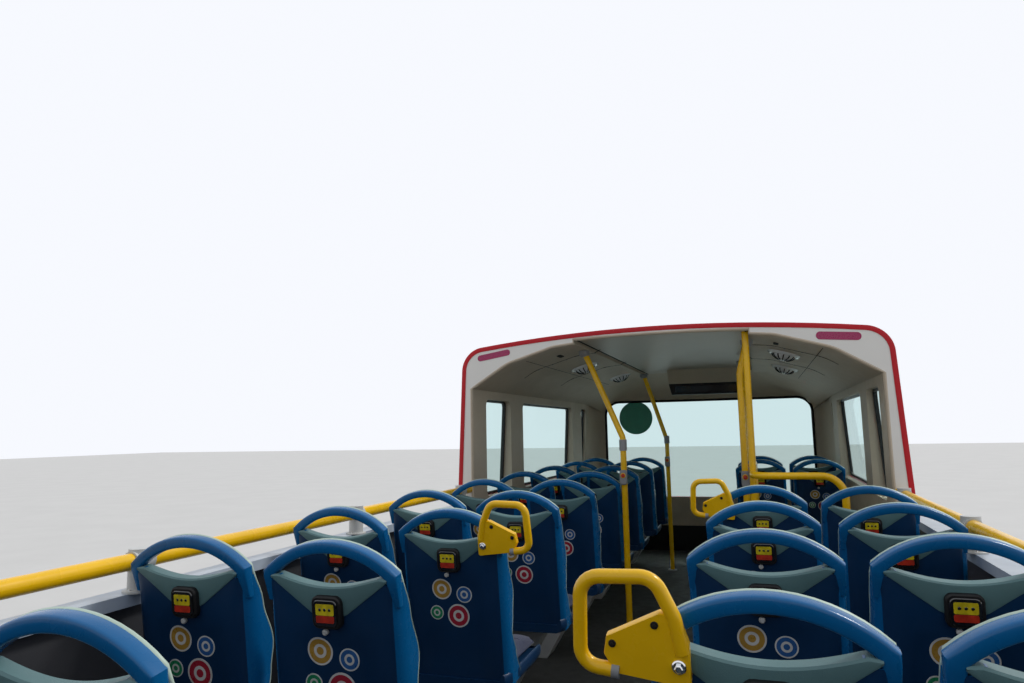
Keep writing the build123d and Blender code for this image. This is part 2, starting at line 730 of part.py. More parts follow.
# Driver's dashboard, steering column and wheel
driver_y = (cab_side_y - half_width + wall) / 2 + 15
dash_x = (counter_x[1], counter_x[1] + 290)
dash_top_z = 1080.0
dash_corner = 90.0
wheel_centre = (dash_x[0] - 200, driver_y, 1190.0)
wheel_ring = 220.0
wheel_grip = 15.0
wheel_tilt_deg = -25.0
spoke_half = 18.0
wheel_boss_radius = 60.0
wheel_boss_height = 40.0
column_radius = 34.0
dash = block(*dash_x, -half_width + wall + 35, cab_side_y, low_floor_z, dash_top_z)
dash = fillet(dash.edges().filter_by(Axis.Y).group_by(Axis.X)[0].sort_by(Axis.Z)[-1:], dash_corner)
turned = Pos(*wheel_centre) * Rot(0, wheel_tilt_deg, 0)
steering = turned * Torus(wheel_ring, wheel_grip)
steering += turned * block(-wheel_ring, wheel_ring, -spoke_half, spoke_half, -spoke_half / 2, spoke_half / 2)
steering += turned * Cylinder(wheel_boss_radius, wheel_boss_height)
column = tube([wheel_centre, (dash_x[0] + 60, driver_y, dash_top_z - 330)], column_radius, 0)
save("driver_controls", (inner_volume & dash).fuse(column, steering))

# Driver's seat on a pedestal: rear and front ends from the seat's middle, half width, and heights
driver_x = cab_rear_x + 480
driver_table = (
    (-150, 200, 150, platform_z, platform_z + 260),
    (-220, 250, 235, platform_z + 260, platform_z + 390),
    (-310, -220, 225, platform_z + 260, platform_z + 900),
    (-300, -235, 110, platform_z + 900, platform_z + 1060),
)
driver_seat = [
    block(driver_x + x0, driver_x + x1, driver_y - y, driver_y + y, z0, z1)
    for x0, x1, y, z0, z1 in driver_table
]
save("driver_seat", driver_seat[0].fuse(*driver_seat[1:]))

# Staircase: treads and risers between the side wall and a sloping string
stair_rise = (deck_z - low_floor_z) / (step_count + 1)
stair_going = (well_front_x - stair_rear_x) / step_count
tread_thickness = 30.0
stair_riser = 12.0
string_thickness = 20.0
string_depth = 160.0
string_margin = 60.0
stair_y = (-half_width + wall + 10, well_inner_y - string_thickness)
stairs = []
for n in range(step_count):
    x = stair_rear_x + n * stair_going
    z = low_floor_z + (n + 1) * stair_rise
    stairs.append(block(x, x + stair_going + stair_riser, *stair_y, z - tread_thickness, z))
    stairs.append(block(x, x + stair_riser, *stair_y, z - stair_rise, z - tread_thickness))
string_outline = Polyline(
    (stair_rear_x, low_floor_z),
    (stair_rear_x + stair_going, low_floor_z),
    (well_front_x, deck_z - stair_rise - string_depth),
    (well_front_x, deck_z),
    (stair_rear_x, low_floor_z + stair_rise + string_margin),
    close=True,
)
string_plane = Plane(origin=(0, well_inner_y, 0), x_dir=(1, 0, 0), z_dir=(0, -1, 0))
string = extrude(string_plane * make_face(string_outline), string_thickness)
staircase = stairs[0].fuse(*stairs[1:], string) & across(-length, well_front_x, 0, deck_z)
save("staircase", staircase)

# Upper seats: a moulded back and pan, a hoop that runs down into side wings, a panel under the hand opening
hoop_depth = 38.0
band = 34.0
foot_drop = 520.0
panel_thickness = 16.0
lens_dip = 28.0
insert_depth = 90.0
insert_side = 22.0
insert_proud = 6.0
pan_top = 430.0
pan_thickness = 30.0
pan_x = (40.0, 500.0)
pan_half_width = seat_half_width + band / 2
cushion_height = 50.0
pad_half_width = seat_half_width - band / 2 - 6
pad_depth = 40.0
back_plane = Plane(origin=(0, 0, 0), x_dir=(0, 1, 0), z_dir=(1, 0, 0))
recline = Pos(0, 0, hoop_end_z) * Rot(0, -seat_recline_deg, 0)
above_pan = block(-half_width, half_width, -half_width, half_width, pan_top, roof_z)
# How far each wing reaches forward of the hoop's middle, at a drop below the hoop's ends
wing_table = ((0, hoop_depth / 2), (-220, 78), (-345, 44), (-foot_drop, 105))


def hoop_face(offset):
    """The area under the hoop, with its edge moved out by an offset."""
    y = seat_half_width + offset
    return make_face(
        [
            Line((-y, -foot_drop), (-y, 0)),
            ThreePointArc((-y, 0), (0, hoop_rise + offset), (y, 0)),
            Line((y, 0), (y, -foot_drop)),
            Line((y, -foot_drop), (-y, -foot_drop)),
        ]
    )


def in_back(face, x0, x1):
    """A face drawn in the plane of the seat's back, made solid between two depths and reclined."""
    return recline * extrude(back_plane.offset(x0) * face, x1 - x0)


def wing(side):
    """The side of the seat's back, deepest at elbow height and again where it meets the pan."""
    outline = Polyline(
        (-hoop_depth / 2, 0), *[(x, z) for z, x in wing_table], (-hoop_depth / 2, -foot_drop), close=True
    )
    y0, _ = on_side(side, seat_half_width - band / 2, seat_half_width + band / 2)
    plane = Plane(origin=(0, y0, 0), x_dir=(1, 0, 0), z_dir=(0, -1, 0))
    return recline * extrude(plane * make_face(outline), -band)


inside_face = hoop_face(-band / 2)
lens_y = seat_half_width - band
above_lens = make_face(
    [
        Line((-half_width, 0), (-lens_y, 0)),
        ThreePointArc((-lens_y, 0), (0, -lens_dip), (lens_y, 0)),
        Line((lens_y, 0), (half_width, 0)),
        Line((half_width, 0), (half_width, half_width)),
        Line((half_width, half_width), (-half_width, half_width)),
        Line((-half_width, half_width), (-half_width, 0)),
    ]
)
insert_area = make_face(
    Polyline(
        (-seat_half_width, 1),
        (seat_half_width, 1),
        (seat_half_width, -insert_side),
        (0, -insert_depth),
        (-seat_half_width, -insert_side),
        close=True,
    )
)
half_panel = panel_thickness / 2
insert_x = (-half_panel - insert_proud, half_panel - insert_proud / 2)
box_half_width = 36.0
box_z = (-100.0, -lens_dip - 6)
box_depth = 22.0
box_face = Pos(0, sum(box_z) / 2) * Rectangle(2 * box_half_width, box_z[1] - box_z[0])
back_pad_z = (-430.0, -115.0)
back_pad_face = Pos(0, sum(back_pad_z) / 2) * Rectangle(2 * pad_half_width, back_pad_z[1] - back_pad_z[0])
cushion_x = (108.0, 490.0)
seat_hoop = in_back(hoop_face(band / 2) - inside_face, -hoop_depth / 2, hoop_depth / 2) + wing(1) + wing(-1)
seat_back = in_back(inside_face - above_lens - insert_area, -half_panel, half_panel)
seat_insert = in_back((insert_area & inside_face) - above_lens, *insert_x)
control_box = in_back(box_face, insert_x[0] - box_depth, insert_x[0])
back_pad = in_back(back_pad_face, half_panel, half_panel + pad_depth)
pan = block(*pan_x, -pan_half_width, pan_half_width, pan_top - pan_thickness, pan_top)
cushion = block(*cushion_x, -pad_half_width, pad_half_width, pan_top, pan_top + cushion_height)


def row_xs(first_x, last_x):
    """Where the rows stand from one place back to another, one pitch apart."""
    return [first_x - n * seat_pitch for n in range(int((first_x - last_x) / seat_pitch) + 1)]


left_rows = row_xs(left_front_row_x, rear_bench_x + bench_room)
right_rows = row_xs(right_front_row_x, well_front_x + 400)
right_rows += row_xs(right_back_row_x, rear_bench_x + bench_room)
bench_ys = [(n - (bench_count - 1) / 2) * bench_spacing for n in range(bench_count)]
pair_ys = (aisle_seat_y, window_seat_y)
upper_seats = [(x, side * y) for side, xs in ((1, left_rows), (-1, right_rows)) for x in xs for y in pair_ys]
upper_seats += [(rear_bench_x, y) for y in bench_ys]
save("seat_hoops", [Pos(x, y, deck_z) * (seat_hoop & above_pan) for x, y in upper_seats])
save("seat_inserts", [Pos(x, y, deck_z) * seat_insert for x, y in upper_seats])
save("seat_control_boxes", [Pos(x, y, deck_z) * control_box for x, y in upper_seats])
upper_pads = [Pos(x, y, deck_z) * pad for x, y in upper_seats for pad in (back_pad, cushion)]

# Lower seats: the same pan under a plain padded back with a rounded head
lower_left_rows = row_xs(front_axle_x - 1300, rear_axle_x + 1300)
lower_right_rows = row_xs(stair_rear_x - 650, rear_axle_x + 1300)
lower_bench_x = engine_wall_x + 45
lower_back_x = (-30.0, 45.0)
lower_head_radius = 90.0
lower_back_height = 620.0
lower_head = Plane(origin=(0, 0, 0), x_dir=(0, 1, 0), z_dir=(1, 0, 0)).offset(lower_back_x[0])
lower_back_size = (2 * pan_half_width, lower_back_height)
lower_back_area = RectangleRounded(*lower_back_size, lower_head_radius)
lower_back_area = Pos(0, pan_top + lower_back_height / 2) * lower_back_area
lower_back = extrude(lower_head * lower_back_area, lower_back_x[1] - lower_back_x[0])
lower_back = Pos(pan_x[0] + 20, 0, 0) * (lower_back & above_pan)
lower_seats = [
    (x, side * y, low_floor_z)
    for side, xs in ((1, lower_left_rows), (-1, lower_right_rows))
    for x in xs
    for y in pair_ys
]
lower_seats += [(lower_bench_x, y, high_floor_z) for y in bench_ys]
upper_backs = [Pos(x, y, deck_z) * (seat_back & above_pan) for x, y in upper_seats]
save("seat_backs", upper_backs + [Pos(*at) * lower_back for at in lower_seats])
all_seats = [(x, y, deck_z) for x, y in upper_seats] + lower_seats
save("seat_pans", [Pos(*at) * pan for at in all_seats])
save("seat_pads", upper_pads + [Pos(*at) * cushion for at in lower_seats])

# Seat pedestals: a plate that widens from its foot to the pans of a pair, or to one pan of a bench
leg_x = (220.0, 380.0)
leg_foot_half = 60.0
leg_top_half = (300.0, 100.0)
legs = []
pan_under = pan_top - pan_thickness


def pedestal(x, y, z, top_half):
    """One pedestal, narrow at the floor and wide under the pans."""
    outline = Polyline(
        (-leg_foot_half, 0), (leg_foot_half, 0), (top_half, pan_under), (-top_half, pan_under), close=True
    )
    plane = Plane(origin=(x + leg_x[0], y, z), x_dir=(0, 1, 0), z_dir=(1, 0, 0))
    return extrude(plane * make_face(outline), leg_x[1] - leg_x[0])


row_table = (
    (1, left_rows, deck_z),
    (-1, right_rows, deck_z),
    (1, lower_left_rows, low_floor_z),
    (-1, lower_right_rows, low_floor_z),
)
for side, xs, z in row_table:
    legs += [pedestal(x, side * pair_middle_y, z, leg_top_half[0]) for x in xs]
for x, z in ((rear_bench_x, deck_z), (lower_bench_x, high_floor_z)):
    legs += [pedestal(x, y, z, leg_top_half[1]) for y in bench_ys]
save("seat_legs", legs)

# Corner handles on the aisle end of some hoops: a plate behind the corner with a thick loop
handle_radius = 12.0
handle_bend = 26.0
handle_plate = 14.0
handle_left_row = min(6, len(left_rows) - 1)
handle_rows = (
    (left_rows[handle_left_row], 1),
    (right_back_row_x, -1),
    (right_back_row_x - 3 * seat_pitch, -1),
)
# Outlines in the plane of the back: distance from the hoop's corner towards the aisle, and height
plate_outline = ((-84, -80), (-84, 0), (-58, 40), (66, 2), (78, -38), (60, -50))
loop_path = ((-72, 0), (-60, 112), (42, 112), (92, 52), (84, -44), (20, -44))
handles = []
for x, side in handle_rows:
    corner_y = side * (aisle_seat_y - seat_half_width - band / 2)
    at = Pos(x, corner_y, deck_z + hoop_end_z) * Rot(0, -seat_recline_deg, 0)
    plate_face = make_face(Polyline(*[(-side * s, z) for s, z in plate_outline], close=True))
    plate = extrude(back_plane.offset(-hoop_depth / 2 - handle_plate) * plate_face, handle_plate)
    loop_x = -hoop_depth / 2 - handle_radius
    loop = tube([(loop_x, -side * s, z) for s, z in loop_path], handle_radius, handle_bend)
    handles.append(at * (plate + loop))
save("corner_handles", handles)

# Yellow rail round the open part, carried by tee posts that stand on the coping
rail_end_x = rear_x + 75
corner_bend = 120.0
tee_radius = 31.0
tee_rise = 34.0
tee_first_x = canopy_rear_x - 180
tee_pitch = 1200.0
rail_path = [(rim_x, rail_y), (rail_end_x, rail_y), (rail_end_x, -rail_y), (rim_x, -rail_y)]
side_rail = tube([(x, y, rail_z) for x, y in rail_path], side_rail_radius, corner_bend)
tee_count = int((tee_first_x - rail_end_x - 2 * corner_bend) / tee_pitch) + 1
tee_places = [(tee_first_x - n * tee_pitch, side * rail_y) for side in (1, -1) for n in range(tee_count)]
tee_places += [(rail_end_x, side * half_width / 2) for side in (1, -1)]
save("side_rails", side_rail)
save("rail_posts", [post(x, y, tee_radius, waist_z, rail_z + tee_rise) - side_rail for x, y in tee_places])

# Guard round the stairwell: posts on the deck, a top rail that bends down to the floor, and a lower rail
guard_x = well_rear_x - 60
guard_y = well_inner_y + 35
guard_end_y = -935.0
guard_top_z = deck_z + 1020
guard_low_z = deck_z + 520
guard_front_x = well_front_x - 130
guard_bend = 110.0
guard = tube(
    [
        (guard_x, guard_end_y, deck_z),
        (guard_x, guard_end_y, guard_top_z),
        (guard_x, guard_y, guard_top_z),
        (guard_front_x, guard_y, guard_top_z),
        (guard_front_x, guard_y, deck_z),
    ],
    rail_radius, guard_bend,
)
low_rail_path = [(guard_x, guard_end_y), (guard_x, guard_y), (guard_front_x, guard_y)]
low_rail = tube([(x, y, guard_low_z) for x, y in low_rail_path], rail_radius, guard_bend)
tall_post = post(guard_x + 200, guard_y, rail_radius, deck_z, roof_z) & passenger_space
short_post = post((guard_x + guard_front_x) / 2, guard_y, rail_radius, deck_z, guard_top_z)
save("stair_guard", guard.fuse(low_rail, tall_post, short_post))

# Poles from the deck to the ceiling: place, outward lean of the top, and how far the bend is below the roof
pole_bend = 60.0
pole_table = (
    (left_rows[3] + 4, 300.0, 235.0, 565.0),
    (left_rows[0] + 4, 290.0, 190.0, 615.0),
    (canopy_rear_x + 230, -440.0, -50.0, 195.0),
    (canopy_rear_x + 1585, -430.0, 0.0, 0.0),
)
poles = []
for x, y, lean, bend_drop in pole_table:
    bend = [(x, y, roof_edge_z - bend_drop)] if lean else []
    pole = tube([(x, y, deck_z), *bend, (x, y + lean, roof_edge_z)], rail_radius, pole_bend)
    poles.append((pole & passenger_space).solids()[0])
lower_pole_table = (
    (front_axle_x + 780, 420.0),
    (front_axle_x + 780, -380.0),
    (front_axle_x - 710, 300.0),
    (stair_rear_x - 90, -380.0),
    (high_floor_x + 70, 330.0),
    (high_floor_x + 70, -330.0),
)
poles += [post(x, y, rail_radius, low_floor_z, lower_top_z) for x, y in lower_pole_table]
save("poles", poles)

# Mirrors on arms from the front corners
mirror_x = front_x - 240
mirror_z = (1520.0, 1910.0)
mirror_arm_z = 2180.0
mirror_y = (half_width + 15, half_width + 175)
mirror_half_depth = 45.0
mirror_corner = 40.0
mirror_arm_radius = 16.0
mirror_arm_bend = 60.0
mirrors = []
for side in (1, -1):
    hang_y = side * (mirror_y[0] + mirror_y[1]) / 2
    root_y = side * (half_width - 105)
    arm_path = [(root_y, mirror_arm_z), (hang_y, mirror_arm_z), (hang_y, mirror_z[1] - 10)]
    arm = tube([(mirror_x, y, z) for y, z in arm_path], mirror_arm_radius, mirror_arm_bend)
    head_x = (mirror_x - mirror_half_depth, mirror_x + mirror_half_depth)
    head = rounded_block(*head_x, *on_side(side, *mirror_y), *mirror_z, mirror_corner, Axis.X)
    mirrors.append((arm - outer_volume) + head)
save("mirrors", mirrors)

# A flat housing hung from the ceiling above the front screen
housing_x = (dome_start_x - 220, dome_start_x - 100)
housing_y = (-410.0, 270.0)
housing_z = (roof_z - 280, roof_z - 140)
hanger_half = 20.0
housing = rounded_block(*housing_x, *housing_y, *housing_z, 20, Axis.X)
for y in (housing_y[0] + 110, housing_y[1] - 110):
    x = sum(housing_x) / 2
    hanger = block(x - hanger_half, x + hanger_half, y - hanger_half, y + hanger_half, housing_z[1], roof_z)
    housing += hanger & passenger_space
save("ceiling_housing", housing)
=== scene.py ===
import bpy
import bmesh
import json
import math
from mathutils import Matrix, Vector, geometry
from mathutils.bvhtree import BVHTree


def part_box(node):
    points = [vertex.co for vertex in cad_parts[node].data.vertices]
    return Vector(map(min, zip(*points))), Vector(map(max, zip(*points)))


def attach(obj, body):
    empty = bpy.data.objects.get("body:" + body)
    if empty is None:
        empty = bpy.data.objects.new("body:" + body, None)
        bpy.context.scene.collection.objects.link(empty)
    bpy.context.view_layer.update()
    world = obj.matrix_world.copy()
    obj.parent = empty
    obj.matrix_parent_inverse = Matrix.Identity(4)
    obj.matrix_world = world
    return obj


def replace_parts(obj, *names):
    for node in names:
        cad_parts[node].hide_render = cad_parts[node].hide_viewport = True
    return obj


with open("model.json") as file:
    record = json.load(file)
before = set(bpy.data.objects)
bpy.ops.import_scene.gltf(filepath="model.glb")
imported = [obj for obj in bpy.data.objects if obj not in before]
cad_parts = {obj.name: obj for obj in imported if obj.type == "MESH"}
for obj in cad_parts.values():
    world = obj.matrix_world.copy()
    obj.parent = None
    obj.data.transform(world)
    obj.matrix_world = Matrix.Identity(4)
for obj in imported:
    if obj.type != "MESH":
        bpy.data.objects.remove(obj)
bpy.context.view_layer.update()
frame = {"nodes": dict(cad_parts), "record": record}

# Open-top double-decker bus. Metres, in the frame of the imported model: +X forward, +Y left, +Z up.
# The CAD nodes keep their shapes and get materials here. The moulded seats, cushions, trims, lamps,
# tyre treads and small fittings are modelled here, placed from the boxes of the nodes that carry them.

BODY = "root"
FORWARD, REARWARD, LEFT, UP, DOWN = (1, 0, 0), (-1, 0, 0), (0, 1, 0), (0, 0, 1), (0, 0, -1)
# A move, as a matrix
at = Matrix.Translation


def turn_by(degrees, axis="Z"):
    """A turn about an axis, as a matrix."""
    return Matrix.Rotation(math.radians(degrees), 4, axis)


def box_of(node):
    """A node's lowest and highest corners, as vectors."""
    low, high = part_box(node)
    return Vector(low), Vector(high)


def mesh_of(node):
    """A node's mesh."""
    return frame["nodes"][node].data


# Materials. Each is a Principled shader. All but the glass have noise on their colour and roughness.


def shader_of(material):
    """A material's shader."""
    return material.node_tree.nodes["Principled BSDF"]


def new_material(name, roughness, metallic=0.0, coat=0.0, sheen=0.0, gloss=0.5):
    """An empty material with the numbers that are the same all over it."""
    material = bpy.data.materials.new(name)
    material.use_nodes = True
    inputs = shader_of(material).inputs
    inputs["Roughness"].default_value = roughness
    inputs["Metallic"].default_value = metallic
    inputs["Coat Weight"].default_value = coat
    inputs["Coat Roughness"].default_value = 0.08
    inputs["Specular IOR Level"].default_value = gloss
    inputs["Sheen Weight"].default_value = sheen
    return material


def add(material, kind, **values):
    """A node in a material's tree, with its inputs or its settings given by name."""
    node = material.node_tree.nodes.new(kind)
    for key, value in values.items():
        name = key.replace("_", " ")
        if name in node.inputs:
            node.inputs[name].default_value = value
        else:
            setattr(node, key, value)
    return node


def join(material, source, target):
    """A link from an output to an input."""
    material.node_tree.links.new(source, target)


def noise(material, scale, detail=4.0):
    """Noise in the piece's own coordinates."""
    cloud = add(material, "ShaderNodeTexNoise", Scale=scale, Detail=detail)
    join(material, add(material, "ShaderNodeTexCoord").outputs["Object"], cloud.inputs["Vector"])
    return cloud.outputs["Fac"]


def between(material, fac, low, high):
    """A ramp from one colour to another over the middle of a factor."""
    ramp = add(material, "ShaderNodeValToRGB")
    for element, position, colour in zip(ramp.color_ramp.elements, (0.35, 0.65), (low, high)):
        element.position = position
        element.color = (*colour, 1)
    join(material, fac, ramp.inputs["Fac"])
    return ramp.outputs["Color"]


def mixed(material, fac, first, second):
    """One colour where a factor is 0 and another where it is 1."""
    mix = add(material, "ShaderNodeMix", data_type="RGBA")
    join(material, fac, mix.inputs["Factor"])
    join(material, first, mix.inputs["A"])
    join(material, second, mix.inputs["B"])
    return mix.outputs["Result"]


def clouded(material, scale, colour, vary):
    """A colour that changes slowly by a share of itself."""
    low, high = [tuple(min(1.0, value * factor) for value in colour) for factor in (1 - vary, 1 + vary)]
    return between(material, noise(material, scale), low, high)


def roughen(material, fac, low, high):
    """Roughness that runs between two values with a factor."""
    spread = add(material, "ShaderNodeMapRange", From_Min=0.3, From_Max=0.7, To_Min=low, To_Max=high)
    join(material, fac, spread.inputs["Value"])
    join(material, spread.outputs["Result"], shader_of(material).inputs["Roughness"])


def emboss(material, height, distance, strength=0.5):
    """A bump on the whole surface from a height."""
    bump = add(material, "ShaderNodeBump", Strength=strength, Distance=distance)
    join(material, height, bump.inputs["Height"])
    join(material, bump.outputs["Normal"], shader_of(material).inputs["Normal"])


def finish(name, colour, roughness, spread=0.08, vary=0.1, grain=0, grain_scale=400, cloud_scale=3.0, **more):
    """A finish with slow changes of colour and gloss, and a fine grain."""
    material = new_material(name, roughness, **more)
    join(material, clouded(material, cloud_scale, colour, vary), shader_of(material).inputs["Base Color"])
    roughen(material, noise(material, 6 * cloud_scale), roughness - spread, roughness + spread)
    if grain:
        emboss(material, noise(material, grain_scale, 2.0), grain)
    return material


def glass(name, colour, roughness=0.02):
    """Thin tinted glass that stays clear from both sides."""
    material = new_material(name, roughness)
    inputs = shader_of(material).inputs
    inputs["Base Color"].default_value = (*colour, 1)
    inputs["Transmission Weight"].default_value = 1.0
    inputs["IOR"].default_value = 1.02
    emboss(material, noise(material, 2.0), 0.002, 0.1)
    return material


RED = (0.48, 0.009, 0.017)
CREAM = (0.52, 0.445, 0.345)
RED_GLOSS = dict(spread=0.012, vary=0.04, coat=0.08, gloss=0.2, cloud_scale=1.5)
# Name, colour, roughness, and what differs from a plain finish. The first rows are the slots of the nodes.
FINISHES = (
    ("white_paint", (0.74, 0.73, 0.69), 0.32, dict(spread=0.03, vary=0.015, coat=0.2)),
    ("red_paint", RED, 0.32, RED_GLOSS),
    ("cream_lining", CREAM, 0.55, dict(vary=0.04, gloss=0.3, grain=0.0006, grain_scale=350)),
    ("lamp_glass", (0.70, 0.68, 0.64), 0.12, dict(coat=1.0)),
    ("black_plastic", (0.010, 0.010, 0.011), 0.50, dict(gloss=0.25, grain=0.0006)),
    ("grey_plastic", (0.26, 0.27, 0.28), 0.50, dict(grain=0.0006)),
    # seat_blue: partly the moulding's own navy, partly painted shade, darker than the blue it has in light
    ("seat_blue", (0.003, 0.029, 0.088), 0.36, dict(gloss=0.35, grain=0.0004, grain_scale=300)),
    ("hoop_blue", (0.002, 0.110, 0.30), 0.28, dict(coat=0.12, gloss=0.25, grain=0.0001, grain_scale=300)),
    ("seat_sage", (0.10, 0.20, 0.21), 0.55, dict(grain=0.0008, grain_scale=500)),
    ("seat_pad", (0.012, 0.020, 0.060), 0.85, dict(sheen=0.3, grain=0.001, grain_scale=600)),
    ("pale_metal", (0.52, 0.53, 0.52), 0.45, dict(grain=0.0004)),
    ("rail_yellow", (0.86, 0.50, 0.003), 0.28, dict(coat=0.2, gloss=0.3, grain=0.0003, grain_scale=120)),
    ("floor_vinyl", (0.045, 0.046, 0.043), 0.65, dict(gloss=0.3, grain=0.001, grain_scale=250)),
    ("chassis_black", (0.03, 0.03, 0.032), 0.55, dict(grain=0.001, grain_scale=120)),
    ("axle_iron", (0.07, 0.066, 0.06), 0.7, dict(grain=0.002, grain_scale=90)),
    ("wheel_silver", (0.42, 0.43, 0.44), 0.38, dict(metallic=0.6, grain=0.0005)),
    ("tyre", (0.014, 0.014, 0.015), 0.8, dict(gloss=0.3, grain=0.001, grain_scale=200)),
    ("spring_rubber", (0.022, 0.022, 0.023), 0.75, dict(grain=0.001)),
    ("engine_grey", (0.14, 0.145, 0.15), 0.6, dict(grain=0.002, grain_scale=80)),
    ("stair_yellow", (0.16, 0.165, 0.17), 0.5, dict(grain=0.001)),
    ("black_frame", (0.008, 0.008, 0.009), 0.40, dict(gloss=0.3, grain=0.0003)),
    # seat_edge: the pale colour of a painted highlight along the seats' front edges
    ("seat_edge", (0.46, 0.58, 0.50), 0.45, dict(grain=0.0004)),
    ("gloss_black", (0.010, 0.010, 0.011), 0.14, dict(coat=0.8)),
    ("label_yellow", (0.62, 0.50, 0.01), 0.35, dict(vary=0.2, cloud_scale=60)),
    ("label_red", (0.46, 0.03, 0.012), 0.35, dict(vary=0.2, cloud_scale=60)),
    ("sticker_white", (0.60, 0.60, 0.58), 0.35, dict(cloud_scale=20)),
    ("sticker_red", (0.36, 0.015, 0.035), 0.32, dict(cloud_scale=20)),
    ("sticker_blue", (0.02, 0.10, 0.30), 0.32, dict(cloud_scale=20)),
    ("sticker_gold", (0.40, 0.23, 0.035), 0.32, dict(cloud_scale=20)),
    ("sticker_green", (0.01, 0.22, 0.09), 0.32, dict(cloud_scale=20)),
    ("vent_white", (0.80, 0.82, 0.84), 0.20, dict(vary=0.04, coat=0.5, cloud_scale=30)),
    ("chrome", (0.72, 0.73, 0.74), 0.14, dict(metallic=1.0, cloud_scale=12)),
    ("dark_rubber", (0.009, 0.009, 0.010), 0.7, dict(gloss=0.25, grain=0.0005)),
    ("pill_magenta", (0.33, 0.012, 0.09), 0.3, dict(vary=0.05, cloud_scale=30)),
    ("disc_green", (0.025, 0.290, 0.185), 0.4, dict(vary=0.05, cloud_scale=12)),
    ("ceiling_grey", (0.42, 0.375, 0.31), 0.36, dict(spread=0.01, vary=0.02, cloud_scale=1.0)),
    ("saloon_white", (0.56, 0.56, 0.53), 0.45, dict(vary=0.03, gloss=0.3, grain=0.0004)),
    ("light_lens", (0.85, 0.86, 0.84), 0.25, dict(vary=0.02, coat=0.3, cloud_scale=20)),
    ("seam", (0.03, 0.04, 0.09), 0.8, dict()),
    ("lamp_amber", (0.75, 0.20, 0.01), 0.15, dict(coat=0.6, cloud_scale=60)),
    ("lamp_red", (0.50, 0.01, 0.01), 0.15, dict(coat=0.6, cloud_scale=60)),
    ("lamp_clear", (0.78, 0.78, 0.76), 0.12, dict(coat=0.8, cloud_scale=60)),
    ("lamp_housing", (0.16, 0.165, 0.17), 0.16, dict(metallic=0.5, coat=0.5)),
    ("plate_white", (0.72, 0.72, 0.68), 0.35, dict(cloud_scale=15)),
    ("plate_yellow", (0.78, 0.55, 0.04), 0.35, dict(cloud_scale=15)),
    ("mirror_glass", (0.80, 0.82, 0.83), 0.04, dict(metallic=1.0, vary=0.02, spread=0.01)),
    ("studio_floor", (0.62, 0.62, 0.61), 0.9, dict(vary=0.02, cloud_scale=0.5)),
)
MATERIALS = {name: finish(name, colour, roughness, **rest) for name, colour, roughness, rest in FINISHES}
MATERIALS["glass"] = glass("glass", (0.66, 0.82, 0.80))

for sub in frame["record"]["subparts"]:
    materials = mesh_of(sub["node"]).materials
    materials.clear()
    materials.append(MATERIALS[sub["material_slot"]])

# A face that looks towards this point is on the inside of a wall
BUS_MIDDLE = (0, 0, 2.6)
COPING_DARK, COPING_PALE = (0.36, 0.43, 0.52), (0.46, 0.53, 0.62)


def two_sided(name, inside, coping_z=None):
    """Red outside and another colour inside, with a silver coping above a height if one is given."""
    material = finish(name, RED, 0.32, **RED_GLOSS)
    base = shader_of(material).inputs["Base Color"]
    here = add(material, "ShaderNodeTexCoord").outputs["Object"]
    outwards = add(material, "ShaderNodeVectorMath", operation="SUBTRACT")
    outwards.inputs[1].default_value = BUS_MIDDLE
    along = add(material, "ShaderNodeVectorMath", operation="DOT_PRODUCT")
    inward = add(material, "ShaderNodeMath", operation="LESS_THAN")
    inward.inputs[1].default_value = 0.0
    join(material, here, outwards.inputs[0])
    join(material, outwards.outputs["Vector"], along.inputs[0])
    join(material, add(material, "ShaderNodeNewGeometry").outputs["Normal"], along.inputs[1])
    join(material, along.outputs["Value"], inward.inputs[0])
    lining = clouded(material, 5.0, inside, 0.1)
    colour = mixed(material, inward.outputs["Value"], base.links[0].from_socket, lining)
    if coping_z is not None:
        parts = add(material, "ShaderNodeSeparateXYZ")
        above = add(material, "ShaderNodeMath", operation="GREATER_THAN")
        above.inputs[1].default_value = coping_z
        join(material, here, parts.inputs["Vector"])
        join(material, parts.outputs["Z"], above.inputs[0])
        silver = between(material, noise(material, 7.0), COPING_DARK, COPING_PALE)
        colour = mixed(material, above.outputs["Value"], colour, silver)
    join(material, colour, base)
    return material


# Forms: small builders of points and faces, grown into one mesh per piece


def loft(sections, closed=True, caps=True, loop=False):
    """Points and faces through sections of as many points each."""
    count = len(sections[0])
    points = [point for section in sections for point in section]
    faces = []
    for row in range(len(sections) if loop else len(sections) - 1):
        below = row * count
        above = (row + 1) % len(sections) * count
        for column in range(count if closed else count - 1):
            beside = (column + 1) % count
            faces.append([below + column, below + beside, above + beside, above + column])
    if caps and closed and not loop:
        faces.append(list(range(count))[::-1])
        faces.append([len(points) - count + column for column in range(count)])
    return points, faces


def rod(path, radius, sides=10, loop=False):
    """A round bar along a path of points."""
    path = [Vector(point) for point in path]
    across = None
    sections = []
    for index, point in enumerate(path):
        before = path[index - 1] if index or loop else path[0]
        after = path[(index + 1) % len(path)] if index + 1 < len(path) or loop else path[-1]
        along = (after - before).normalized()
        if across is None:
            across = along.cross(Vector(UP if abs(along.z) < 0.9 else FORWARD))
        across = (across - along * across.dot(along)).normalized()
        other = along.cross(across)
        sections.append([point + radius * (u * across + v * other) for u, v in circle_outline(1.0, sides)])
    return loft(sections, loop=loop)


def rounded(path, radius, steps=5):
    """A path with each inner corner bent to a radius."""
    path = [Vector(point) for point in path]
    bent = [path[0]]
    for before, corner, after in zip(path, path[1:], path[2:]):
        back = (before - corner).normalized()
        on = (after - corner).normalized()
        half = back.angle(on) / 2
        size = min(radius, 0.48 * math.tan(half) * min((before - corner).length, (after - corner).length))
        reach = size / math.tan(half)
        centre = corner + (back + on).normalized() * size / math.sin(half)
        start, end = corner + back * reach - centre, corner + on * reach - centre
        bent += [centre + size * start.slerp(end, step / steps) for step in range(steps + 1)]
    bent.append(path[-1])
    return bent


